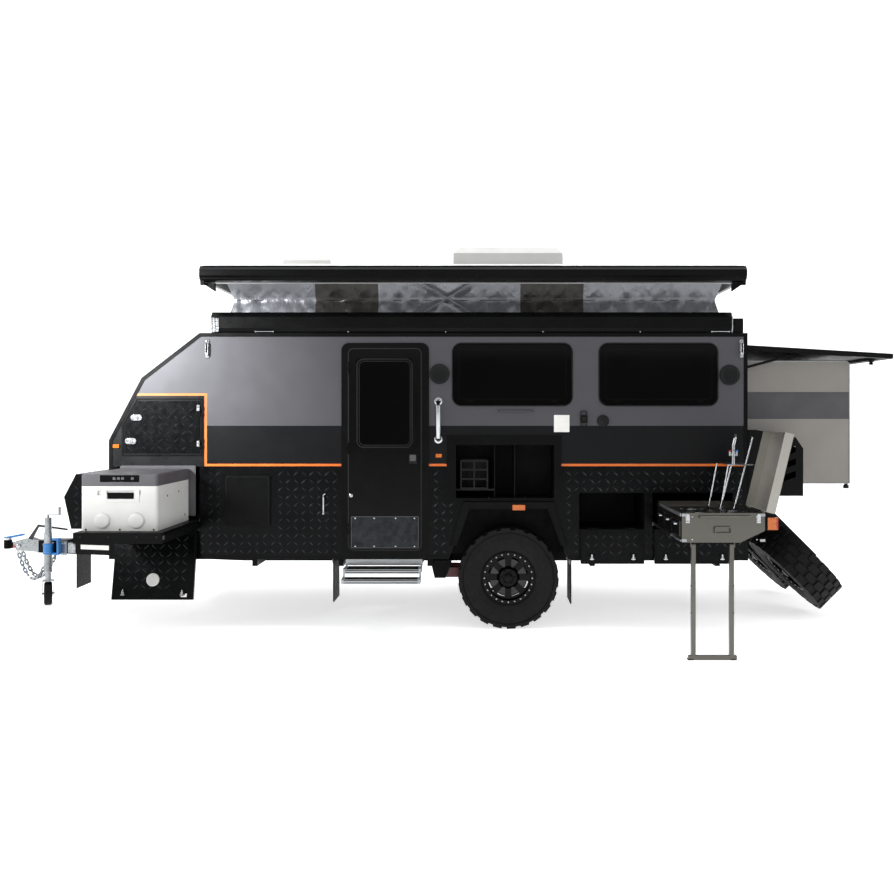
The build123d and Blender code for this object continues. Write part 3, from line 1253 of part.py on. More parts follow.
def make_kitchen_shelf():
    """Raised wash shelf on three posts at the kitchen's inner end, with its mixer tap."""
    x, top = KITCHEN_X[1], KITCHEN_Z[1]
    foot, shelf = top - HOB_DEPTH + 1.5, top + 302
    plate = block((x - 120, x + 86), (NEAR - 400, NEAR - 40), (shelf, shelf + 8))
    rods = []
    for y, x0, x1, head in ((NEAR - 60, -176, -114, shelf + 2), (NEAR - 60, -80, -22, shelf + 2),
                            (NEAR - 330, -156, -70, shelf + 2), (NEAR - 380, -66, 76, shelf + 212)):
        rods.append(rod((x + x0, y, foot), (x + x1, y, head), 5))
    tap_y = NEAR - 200
    tap = rod_z(x - 22, tap_y, (shelf + 8, shelf + 152), 13)
    spout = rod((x - 22, tap_y, shelf + 142), (x - 6, tap_y, shelf + 208), 12)
    levers = [rod_x((x - 50, x + 6), tap_y, shelf + 72, 9)]
    levers += [rod_z(x + dx, tap_y, (shelf + 64, shelf + 96), 9) for dx in (-48, 4)]
    return fused([plate, tap, spout] + rods + levers)


def make_kitchen_lid():
    """Lid over the hob half: a pan with folded rims, swung open about its rear edge."""
    (x0, x1), y = KITCHEN_X, KITCHEN_LID_Y
    low = KITCHEN_Z[1] + 2
    lid = block((x0 + 6, x1), y, (low, low + KITCHEN_LID_T))
    t = KITCHEN_T
    lid -= block((x0 + 6 + t, x1 - t), (y[0] + t, y[1] - t), (low - 1, low + KITCHEN_LID_T - t))
    closed = fused([lid] + kitchen_lid_hinges()[1])
    return swung(closed, KITCHEN_LID_AXIS, (0, 1, 0), KITCHEN_LID_ANGLE)


def kitchen_lid_hinges():
    """Fixed and moving halves of the kitchen lid's hinges, as the lid is closed."""
    fixed, moving = [], []
    for y in (KITCHEN_LID_Y[0] + 50, KITCHEN_LID_Y[1] - 110):
        halves = [mirror(half, Plane.XZ) for half in butt_hinge(60, 18)]
        base = Plane(origin=(KITCHEN_LID_AXIS[0], y, KITCHEN_LID_AXIS[2]), x_dir=(0, 0, 1),
                     z_dir=(0, 1, 0))
        fixed.append(base * halves[0])
        moving.append(base * halves[1])
    return fixed, moving


def make_kitchen_leg():
    """U-shaped leg with a foot bar, on a pivot tube under the kitchen's outer end."""
    y, z = LEG_PIVOT
    half = LEG_TUBE / 2
    shapes = []
    for x in (LEG_X[0] + half, LEG_X[1] - half):
        shapes.append(block((x - half, x + half), (y - half, y + half), (0, z)))
        shapes.append(rod_x((x - half, x + half), y, z, half))
    shapes.append(block((LEG_X[0] - 20, LEG_X[1] + 20), (y - half, y + half), (0, LEG_TUBE)))
    leg = fused(shapes)
    return leg - rod_x((LEG_X[0] - 1, LEG_X[1] + 1), y, z, 6.2)


def leg_brackets():
    """Ears under the kitchen with the pins that the leg turns on."""
    y, z = LEG_PIVOT
    shapes = []
    for edge, inward in ((LEG_X[0], 1), (LEG_X[1], -1)):
        ear = block(sorted((edge - inward * 7, edge - inward)), (y - 16, y + 16), (z - 14, KITCHEN_Z[0]))
        pin = rod_x(sorted((edge - inward * 7, edge + inward * 28)), y, z, 6)
        shapes.append(fused([ear, pin]))
    return shapes


# Bed pod that slides out of the rear wall, under the open hatch
POD_X = (BODY_REAR_X - 60, BODY_REAR_X + 951)
HATCH_LENGTH = 1246
HATCH_T = 40
HATCH_Y = FAR - 220
HATCH_HINGE = (BODY_REAR_X + 14, 2283)
HATCH_DROP = 3.4


def make_pod():
    """Bed pod: a box open towards the cabin, and corner beads."""
    y = (-POD_Y, POD_Y)
    pod = block(POD_X, y, POD_Z)
    t = POD_T
    pod -= block((POD_X[0] - 1, POD_X[1] - t), (y[0] + t, y[1] - t), (POD_Z[0] + t, POD_Z[1] - t))
    return chamfer(pod.edges().filter_by(Axis.Y).filter_by_position(Axis.X, POD_X[1] - 1,
                   POD_X[1] + 1).filter_by_position(Axis.Z, POD_Z[1] - 1, POD_Z[1] + 1), 24)


def pod_runners():
    """Bed frame rails in the cabin that the pod slides on, from the rear wall forwards."""
    x = (BODY_REAR_X - WALL - POD_TRAVEL - 60, BODY_REAR_X - WALL)
    rails = []
    for y in (-POD_Y + 170, POD_Y - 210):
        rails.append(block(x, (y, y + 40), (POD_Z[0] - 36, POD_Z[0] - SEAT)))
        rails.append(block((x[0], x[0] + 40), (y, y + 40), (BODY_BOTTOM_Z + WALL, POD_Z[0] - 36)))
    return rails


def make_hatch():
    """Rear hatch, held open nearly level, with its edge frame and hinge bar."""
    x, z = HATCH_HINGE
    panel = block((x, x + HATCH_LENGTH), (-HATCH_Y, HATCH_Y), (z - HATCH_T, z))
    cut = block((x + 60, x + HATCH_LENGTH - 60), (-HATCH_Y + 60, HATCH_Y - 60),
                (z - HATCH_T - 1, z - 16))
    panel -= cut
    tilted = swung(panel, (x, 0, z), (0, 1, 0), HATCH_DROP)
    bar = block((BODY_REAR_X, x), (-HATCH_Y, HATCH_Y), (z - HATCH_T, z))
    return fused([tilted, bar])


def make_struts():
    """Gas struts between the rear wall's sides and the hatch's edges."""
    shapes = []
    for side in (-1, 1):
        y = side * (HATCH_Y - 30)
        foot = (BODY_REAR_X + 60, y, 2100)
        head = (BODY_REAR_X + 478, y, 2213)
        middle = tuple(a + (b - a) * 0.6 for a, b in zip(foot, head))
        base = block((BODY_REAR_X, BODY_REAR_X + 70), (y - 8, y + 8), (2070, 2130))
        shapes.append(fused([rod(foot, middle, 11), rod(middle, head, 6), base]))
    return shapes


# Rear frame with its bumper, two spare wheels on lowered carriers, and the can holder
BUMPER_X = (BODY_REAR_X + 169, BODY_REAR_X + 239)
BUMPER_Y = FAR - 70
BUMPER_Z = (780, 890)
SPARE_Y = 455
SPARE_CENTRE = (BODY_REAR_X + 594, 414)
SPARE_TILT = 45
ARM_GAP = 8
ARM_TUBE = 50
ARM_LENGTH = 650


def make_bumper():
    """Rail extensions, uprights and the bumper beam."""
    shapes = [block(BUMPER_X, (-BUMPER_Y, BUMPER_Y), BUMPER_Z)]
    rail = block((BODY_REAR_X, BUMPER_X[0]), (RAIL_Y - RAIL_W / 2, RAIL_Y + RAIL_W / 2), RAIL_Z)
    post = block((BUMPER_X[0] - 50, BUMPER_X[0]), (RAIL_Y - RAIL_W / 2, RAIL_Y + RAIL_W / 2),
                 (RAIL_Z[0], BUMPER_Z[1]))
    shapes += mirrored(rail) + mirrored(post)
    return fused(shapes)


def spare_frame(side):
    """Placement of a spare wheel: its face looks down and forward, its arm is above."""
    turn = math.radians(SPARE_TILT)
    face = (-math.sin(turn), 0, -math.cos(turn))
    origin = (SPARE_CENTRE[0], side * SPARE_Y, SPARE_CENTRE[1])
    return Plane(origin=origin, x_dir=(math.cos(turn), 0, -math.sin(turn)), z_dir=face)


def make_carrier(side):
    """Carrier arm behind a spare wheel, its hub boss and its pivot bracket on the bumper."""
    place = spare_frame(side)
    half = ARM_TUBE / 2
    back = -(TYRE_W / 2 + ARM_GAP)
    reach = ARM_LENGTH - 70
    arm = block((-reach, 70), (-half, half), (back - ARM_TUBE, back))
    disc_back = RIM_W / 2 - DISC_INSET - DISC_T / 2 - SEAT
    boss = rod_z(0, 0, (back, disc_back), 60)
    eye = rod_y(-reach, (-half - 30, half + 30), back - half, 34)
    lifted = place * fused([arm, boss, eye])
    pivot = place.from_local_coords(Vector(-reach, 0, back - half))
    ears = []
    for y in (-half - 36, half + 30):
        centre_y = side * SPARE_Y + y
        outline = [(BUMPER_X[0] + 4, BUMPER_Z[1]), (BUMPER_X[1], BUMPER_Z[1]), (BUMPER_X[1], BUMPER_Z[0]),
                   (pivot.X + 30, pivot.Z - 34), (pivot.X + 30, pivot.Z + 30), (pivot.X - 30, pivot.Z + 34)]
        ears.append(side_sheet(outline, (centre_y, centre_y + 6)))
    return fused([lifted] + ears)


CAN_X = (BODY_REAR_X + 10, BODY_REAR_X + 449)
CAN_Y = (NEAR + 15, NEAR + 328)
CAN_Z = (1062, 1590)


def make_can_holder():
    """Laser-cut can holder with slanted slots, on brackets from the rear wall and bumper."""
    t = 5
    side = [(CAN_X[0], CAN_Z[0]), (CAN_X[1], CAN_Z[0]), (CAN_X[1], CAN_Z[1] - 150),
            (CAN_X[1] - 60, CAN_Z[1] - 60), (CAN_X[0] + 60, CAN_Z[1]), (CAN_X[0], CAN_Z[1])]
    shell = side_sheet(side, CAN_Y)
    shell -= block((CAN_X[0] + t, CAN_X[1] - t), (CAN_Y[0] + t, CAN_Y[1] - t),
                   (CAN_Z[0] + t, CAN_Z[1] + 1))
    for row in range(4):
        z = CAN_Z[0] + 90 + 100 * row
        slot = [(CAN_X[0] + 210, z), (CAN_X[0] + 380, z + 60), (CAN_X[0] + 380, z + 110),
                (CAN_X[0] + 210, z + 50)]
        if row < 3:
            shell -= side_sheet(slot, (CAN_Y[0] - 1, CAN_Y[1] + 1))
    wall_pads = [block((BODY_REAR_X, CAN_X[0]), (CAN_Y[0] + 90, CAN_Y[1] - 90), (z, z + 60))
                 for z in (CAN_Z[0] + 60, CAN_Z[1] - 160)]
    post = block((BUMPER_X[0], BUMPER_X[1]), (CAN_Y[0] + 60, CAN_Y[0] + 130), (BUMPER_Z[1], CAN_Z[0]))
    return fused([shell, post] + wall_pads)


def rear_lamps():
    """Tail lamps at both ends of the bumper."""
    lamp = block((BUMPER_X[1], BUMPER_X[1] + 22), (BUMPER_Y - 190, BUMPER_Y - 10),
                 (BUMPER_Z[0] + 14, BUMPER_Z[1] - 14))
    end = block((BUMPER_X[0] + 10, BUMPER_X[1] + 22), (BUMPER_Y, BUMPER_Y + 16),
                (BUMPER_Z[0] + 6, BUMPER_Z[1] - 6))
    return mirrored(lamp) + mirrored(end)


# Every piece by its name; pieces that stay with the trailer come first
def make_all():
    """Solids of every node, by its name."""
    floor, nose, deck, rear = split_ring(make_ring())
    door_fixed, door_moving = door_hinges()
    tool_fixed, tool_moving = tool_hinges()
    lid_fixed, lid_moving = lid_hinge()
    tyre, rim, nuts = make_tyre(), make_rim(), wheel_nuts()
    linings = [locker_box(name, depth) for name, depth in LOCKER_DEPTH.items()]
    linings += [fused([make_tunnel()] + tunnel_runners()), tool_locker_box(), make_pantry()]
    arm = fused([trailing_arm(), stub_axle()])
    pieces = {
        "chassis": [make_chassis()],
        "axle_arms": mirrored(arm),
        "springs_dampers": [half for shape in spring() + [damper()] for half in mirrored(shape)],
        "floor": [fused([floor] + pod_runners())],
        "nose_panels": [nose],
        "roof_deck": [deck],
        "rear_wall": [rear],
        "wall_near": [make_wall(-1)],
        "wall_far": [make_wall(1)],
        "edge_trims": [make_trim(-1), make_trim(1)],
        "skirt_plates": [make_skirt_plate(-1), make_skirt_plate(1)],
        "locker_linings": linings,
        "pantry_basket": [make_basket()],
        "wheel_arches": mirrored(make_arch_liner()) + mirrored(make_fender()),
        "flaps": make_flaps(),
        "nose_box": [fused([make_nose_box()] + make_nose_frame())],
        "windows": make_windows(),
        "side_frames": [fused([make_door_frame()] + door_fixed),
                        fused([make_tool_frame()] + tool_fixed), make_pantry_frame()],
        "drop_doors": [make_drop_door("tunnel"), make_drop_door("kitchen"), make_far_door()],
        "entry_step": [make_step()],
        "side_fittings": make_fittings(),
        "lamps": make_lamps() + rear_lamps(),
        "awning": [make_awning()],
        "coupling": [make_coupling()],
        "coupling_levers": coupling_handles(),
        "jockey_tube": [make_jockey_tube()],
        "safety_chains": make_chain(-1) + make_chain(1),
        "spare_carriers": [make_carrier(-1), make_carrier(1)],
        "spare_tyres": [spare_frame(side) * tyre for side in (-1, 1)],
        "spare_rims": [spare_frame(side) * rim for side in (-1, 1)],
        "can_holder": [make_can_holder()],
        "rear_hatch": [fused([make_hatch()] + make_struts())],
        "kitchen": [fused([make_kitchen()] + kitchen_lid_hinges()[0] + leg_brackets()
                          + kitchen_runners())],
        "kitchen_fittings": make_hob() + [make_kitchen_shelf()],
        "roof_skirt": [make_roof_skirt()],
        "entry_door": [fused([make_door_leaf(), door_handle()] + door_moving)],
        "entry_door_glass": [door_glass()],
        "tool_door": [fused([make_tool_door()] + tool_moving)],
        "storage_door": [make_drop_door("storage")],
        "roof": [make_roof()],
        "roof_edge": [make_roof_edge()],
        "roof_units": [make_aircon(), make_roof_vent()],
        "fridge_tray": [make_tray()],
        "fridge": [fused([make_fridge()] + lid_fixed)],
        "fridge_lid": [fused([make_fridge_lid()] + lid_moving)],
        "kitchen_lid": [make_kitchen_lid()],
        "kitchen_leg": [make_kitchen_leg()],
        "bed_pod": [make_pod()],
        "jockey_fork": [make_jockey_fork()],
        "jockey_wheel": [make_jockey_wheel()],
    }
    for side, label in ((-1, "near"), (1, "far")):
        pieces["tyre_" + label] = [at_wheel(tyre, side)]
        pieces["rim_" + label] = [at_wheel(shape, side) for shape in [rim] + nuts]
    return pieces


os.makedirs("parts", exist_ok=True)
for name, shapes in make_all().items():
    node = Pos(0, 0, -COUPLING_Z) * group(shapes)
    export_step(node, os.path.join("parts", name + ".step"))
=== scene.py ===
"""Looks of a hybrid off-road caravan, parked with its roof, kitchen, fridge and bed pod out.

Sizes are in millimetres: X back from the coupling's pin, Y from the centre line with the near
side negative, and Z up from the ground. The function point() turns them into the frame's metres.
"""

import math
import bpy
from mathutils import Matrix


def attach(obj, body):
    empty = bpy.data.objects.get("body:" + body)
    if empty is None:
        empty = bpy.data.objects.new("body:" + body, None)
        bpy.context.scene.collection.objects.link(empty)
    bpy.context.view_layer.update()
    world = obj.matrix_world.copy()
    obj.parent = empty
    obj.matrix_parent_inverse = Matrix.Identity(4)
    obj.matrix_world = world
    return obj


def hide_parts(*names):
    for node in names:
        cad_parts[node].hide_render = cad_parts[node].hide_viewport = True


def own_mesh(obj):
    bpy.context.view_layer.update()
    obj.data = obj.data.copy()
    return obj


bl_info = {
    "name": "Hybrid caravan looks",
    "version": (1, 0, 0),
    "blender": (4, 5, 0),
    "location": "View3D > Sidebar > Caravan",
    "description": "Builds the finishes and small fittings of a hybrid caravan",
    "category": "Object",
}

import bmesh
import bpy
from mathutils import Matrix, Vector

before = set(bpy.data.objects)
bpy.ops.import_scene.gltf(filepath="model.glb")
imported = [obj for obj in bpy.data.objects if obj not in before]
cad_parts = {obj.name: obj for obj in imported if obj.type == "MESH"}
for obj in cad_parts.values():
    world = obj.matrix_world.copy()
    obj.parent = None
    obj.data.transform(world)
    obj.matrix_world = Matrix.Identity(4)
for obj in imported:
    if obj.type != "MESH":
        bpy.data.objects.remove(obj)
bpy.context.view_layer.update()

COUPLING_Z = 519
NEAR = -1120
FAR = 1120
FRONT_X = 1367
REAR_X = 6451
AXLE_X = 4548
BODY_LOW = 560
BODY_TOP = 2361
BAND_Z = (1322, 1620)
PLATE_TOP = 1297
PHOTO_SIZE = 894
# Pixel of the photograph that the camera looks at straight on
PHOTO_CENTRE = (482, 415)
SIDES = (("near", -1), ("far", 1))
TO_NEAR = (0, -1, 0)
TO_FAR = (0, 1, 0)
TO_FRONT = (-1, 0, 0)
TO_REAR = (1, 0, 0)
UP = (0, 0, 1)
DOWN = (0, 0, -1)
# Screw head to turn: steps away from the sheet, and radius
SMALL_SCREW = ((0, 5), (2, 5), (3, 3))


def point(x, y, z):
    """A place in millimetres above the ground, as a vector in the frame's metres."""
    return Vector((x / 1000, y / 1000, (z - COUPLING_Z) / 1000))


def linear(code):
    """Linear colour with alpha from an sRGB hex code."""
    values = []
    for i in (1, 3, 5):
        c = int(code[i:i + 2], 16) / 255
        values.append(c / 12.92 if c <= 0.04045 else ((c + 0.055) / 1.055) ** 2.4)
    return (*values, 1.0)


# Patterns: one helper adds any node with its settings, values and links
def add_node(tree, kind, settings=None, values=None, links=None):
    """Add a node; links maps an input to the output socket that feeds it."""
    node = tree.nodes.new(kind)
    for key, value in (settings or {}).items():
        setattr(node, key, value)
    for key, value in (values or {}).items():
        node.inputs[key].default_value = value
    for key, socket in (links or {}).items():
        tree.links.new(socket, node.inputs[key])
    return node


def per_metre(size_mm):
    """Texture scale that repeats once in a real size."""
    return 1000 / size_mm


def patches(tree, size_mm, detail=3, stretch=(1, 1, 1)):
    """Irregular patches of a real size in object space, as a factor from 0 to 1."""
    coords = add_node(tree, "ShaderNodeTexCoord")
    place = add_node(tree, "ShaderNodeMapping", values={"Scale": stretch},
                     links={"Vector": coords.outputs["Object"]})
    cells = add_node(tree, "ShaderNodeTexNoise", values={"Scale": per_metre(size_mm), "Detail": detail},
                     links={"Vector": place.outputs["Vector"]})
    return cells.outputs["Fac"]


def mottled(tree, size_mm, shades, detail=4, stretch=(1, 1, 1), span=(0.3, 0.7)):
    """Colour that drifts between two hex shades in patches of a real size."""
    blend = add_node(tree, "ShaderNodeValToRGB", links={"Fac": patches(tree, size_mm, detail, stretch)})
    for element, position, shade in zip(blend.color_ramp.elements, span, shades):
        element.position = position
        element.color = linear(shade)
    return blend.outputs["Color"]


def worn(tree, size_mm, limits, detail=5, stretch=(1, 1, 1)):
    """Roughness that drifts between two limits in patches of a real size."""
    blend = add_node(tree, "ShaderNodeMapRange",
                     values={"From Min": 0.3, "From Max": 0.7, "To Min": limits[0], "To Max": limits[1]},
                     links={"Value": patches(tree, size_mm, detail, stretch)})
    return blend.outputs["Result"]


def surface(name, shader, colour, roughness=None, height=None, depth_mm=0.2):
    """Material with one surface shader, its colour, roughness and relief fed by textures."""
    material = bpy.data.materials.new(name)
    material.use_nodes = True
    tree = material.node_tree
    base = tree.nodes["Principled BSDF"]
    for key, value in shader.items():
        base.inputs[key].default_value = value
    tree.links.new(colour(tree), base.inputs["Base Color"])
    if roughness:
        tree.links.new(roughness(tree), base.inputs["Roughness"])
    if height:
        bump = add_node(tree, "ShaderNodeBump", values={"Strength": 1.0, "Distance": depth_mm / 1000},
                        links={"Height": height(tree)})
        tree.links.new(bump.outputs["Normal"], base.inputs["Normal"])
    return material


# Finishes: size in millimetres of the mottling, its hex colours, roughness range, relief, shader
FINISHES = {
    # Aluminium composite skin, coil coated in metallic grey: a calm satin with a faint flake
    "Coil coated aluminium composite": dict(
        mottle=420, colours=("#8f8f91", "#98989a"), rough=(0.30, 0.36), grain=1.6, depth=0.02,
        shader={"Metallic": 0.3, "Specular IOR Level": 0.2}),
    # The same skin, printed dark for the band and for the black corner
    "Printed dark film": dict(
        mottle=300, colours=("#0d0e10", "#111214"), rough=(0.26, 0.34), grain=1.4, depth=0.02,
        shader={"Specular IOR Level": 0.2}),
    # Cast vinyl stripe: even colour, slightly soft shine
    "Orange vinyl film": dict(
        mottle=90, colours=("#d2600a", "#da6c12"), rough=(0.32, 0.4), grain=0.8, depth=0.01,
        shader={"Coat Weight": 0.2}),
    # Polyester powder over steel: fine orange peel, satin, paler where it is rubbed
    "Black powder coated steel": dict(
        mottle=160, colours=("#050506", "#08090a"), rough=(0.38, 0.55), grain=1.2, depth=0.06,
        shader={"Specular IOR Level": 0.1}),
    # Extruded trim with black anodising: dark, crisp highlights
    "Black anodised extrusion": dict(
        mottle=200, colours=("#060607", "#0a0b0c"), rough=(0.26, 0.38), grain=2.0, depth=0.02,
        shader={"Metallic": 0.3, "Specular IOR Level": 0.12}),
    # Five-bar plate in black paint; the bars themselves are geometry
    "Black painted tread plate": dict(
        mottle=120, colours=("#070809", "#0e0f10"), rough=(0.2, 0.3), grain=1.5, depth=0.05,
        shader={"Metallic": 0.6, "Specular IOR Level": 0.2}),
    # Crests of the tread bars and other dark metal trim, painted lighter than the plate as painted sheen so
    # they glint
    "Dark metal with painted sheen": dict(
        mottle=50, colours=("#1d1f22", "#2f3135"), rough=(0.16, 0.26), grain=1.2, depth=0.03,
        shader={"Metallic": 0.85}),
    # Hot-dipped steel: pale grey crystals of a few millimetres
    "Galvanised steel": dict(
        mottle=14, colours=("#8f9396", "#b4b8ba"), rough=(0.28, 0.5), grain=5.0, depth=0.05,
        shader={"Metallic": 0.9}),
    # Zinc plated and polished fittings
    "Bright zinc plate": dict(
        mottle=30, colours=("#b9bcc0", "#cfd2d5"), rough=(0.14, 0.24), grain=3.0, depth=0.01,
        shader={"Metallic": 1.0}),
    # Mill-finish aluminium sheet, rolled along X
    "Mill aluminium": dict(
        mottle=60, colours=("#9b9ea1", "#b3b6b9"), rough=(0.3, 0.42), grain=2.0, depth=0.03,
        shader={"Metallic": 0.9}, stretch=(0.15, 1, 1)),
    # Stainless sheet, brushed along X, its colour darkened as painted shade
    "Brushed stainless steel": dict(
        mottle=400, colours=("#5f5e59", "#6b6963"), rough=(0.28, 0.34), grain=1.0, depth=0.02,
        shader={"Metallic": 1.0}, stretch=(0.06, 1, 1)),
    # The kitchen lid: the same stainless, kept brighter while the box is darkened as painted shade
    "Bright brushed stainless": dict(
        mottle=400, colours=("#a3a19a", "#b0aea7"), rough=(0.3, 0.38), grain=1.0, depth=0.02,
        shader={"Metallic": 0.7}, stretch=(0.06, 1, 1)),
    # Moulded ABS in white: even, soft shine, faint texture
    "Moulded white ABS": dict(
        mottle=220, colours=("#b6b6b4", "#c0c0be"), rough=(0.32, 0.42), grain=1.6, depth=0.06,
        shader={}),
    # Painted glass fibre of the roof: white, slightly dusty
    "White gel coat": dict(
        mottle=500, colours=("#a2a3a3", "#acadac"), rough=(0.3, 0.42), grain=6.0, depth=0.05,
        shader={"Coat Weight": 0.1}),
    # Moulded polypropylene in dark grey with a leathery texture
    "Moulded dark polypropylene": dict(
        mottle=140, colours=("#0f1011", "#151618"), rough=(0.45, 0.6), grain=1.2, depth=0.12,
        shader={"Specular IOR Level": 0.2}),
    # Natural rubber compound of tyres: matt, brown-black, dusty in the grooves
    "Vulcanised tyre rubber": dict(
        mottle=70, colours=("#0b0b0b", "#131212"), rough=(0.6, 0.75), grain=2.4, depth=0.2,
        shader={"Specular IOR Level": 0.2}),
    # Sheet rubber for flaps and seals
    "Rubber sheet": dict(
        mottle=90, colours=("#101010", "#181818"), rough=(0.6, 0.75), grain=2.0, depth=0.1,
        shader={"Specular IOR Level": 0.3}),
    # Acrylic windows, tinted almost black
    "Black tinted acrylic": dict(
        mottle=600, colours=("#020203", "#040404"), rough=(0.05, 0.09), grain=60.0, depth=0.05,
        shader={"Specular IOR Level": 0.08}),
    # Trim painted gloss black: wheels and handles
    "Gloss black enamel": dict(
        mottle=110, colours=("#030304", "#070708"), rough=(0.14, 0.22), grain=3.0, depth=0.02,
        shader={"Specular IOR Level": 0.12}),
    # Blue paint of the coupling's lever
    "Blue enamel": dict(
        mottle=60, colours=("#0f6fb8", "#1a80cc"), rough=(0.25, 0.38), grain=2.0, depth=0.03,
        shader={"Coat Weight": 0.3}),
    # Red paint of the small catch and the warning lamp's housing
    "Red enamel": dict(
        mottle=60, colours=("#9c1712", "#b32019"), rough=(0.25, 0.38), grain=2.0, depth=0.03,
        shader={"Coat Weight": 0.3}),
    # Dark red paint on the suspension arms
    "Dark red chassis paint": dict(
        mottle=90, colours=("#42090a", "#560e0d"), rough=(0.3, 0.45), grain=2.0, depth=0.04,
        shader={"Coat Weight": 0.2}),
    # Warm light grey skin of the bed pod
    "Warm grey composite skin": dict(
        mottle=420, colours=("#7d7a75", "#87847f"), rough=(0.36, 0.44), grain=1.6, depth=0.02,
        shader={"Metallic": 0.15}),
    # Moulded lid of the fridge, mid grey with a fine grain
    "Mid grey ABS": dict(
        mottle=180, colours=("#464548", "#504f52"), rough=(0.42, 0.52), grain=1.2, depth=0.08,
        shader={"Specular IOR Level": 0.3}),
    # Matt paper and card left blank
    "Blank card": dict(
        mottle=60, colours=("#e4e3df", "#eeede9"), rough=(0.6, 0.7), grain=1.0, depth=0.03,
        shader={}),
    # Moulded amber lens over lamps
    "Amber lens": dict(
        mottle=24, colours=("#b04c08", "#c86a10"), rough=(0.12, 0.2), grain=4.0, depth=0.2,
        shader={"Coat Weight": 0.4, "Emission Color": (1.0, 0.33, 0.03, 1.0), "Emission Strength": 0.04}),
    "Red lens": dict(
        mottle=24, colours=("#a01410", "#c21d16"), rough=(0.12, 0.2), grain=4.0, depth=0.2,
        shader={"Coat Weight": 0.4, "Emission Color": (0.8, 0.03, 0.02, 1.0), "Emission Strength": 0.1}),
    # Plywood and trim that show through the open lockers
    "Dark film faced plywood": dict(
        mottle=80, colours=("#08080a", "#0c0c0e"), rough=(0.5, 0.62), grain=2.0, depth=0.06,
        shader={"Specular IOR Level": 0.1}),
}
MATERIALS = {}


def finish(name):
    """The material of one finish, made on its first use."""
    if name in MATERIALS:
        return MATERIALS[name]
    spec = FINISHES[name]
    stretch = spec.get("stretch", (1, 1, 1))
    MATERIALS[name] = surface(
        name, spec["shader"],
        lambda tree: mottled(tree, spec["mottle"], spec["colours"], stretch=stretch),
        lambda tree: worn(tree, spec["mottle"] / 3, spec["rough"], stretch=stretch),
        lambda tree: patches(tree, spec["grain"] * 2, 2, stretch), spec["depth"])
    return MATERIALS[name]


PLANE_AXES = {"xz": (0, 2, 1), "xy": (0, 1, 2), "yz": (1, 2, 0)}


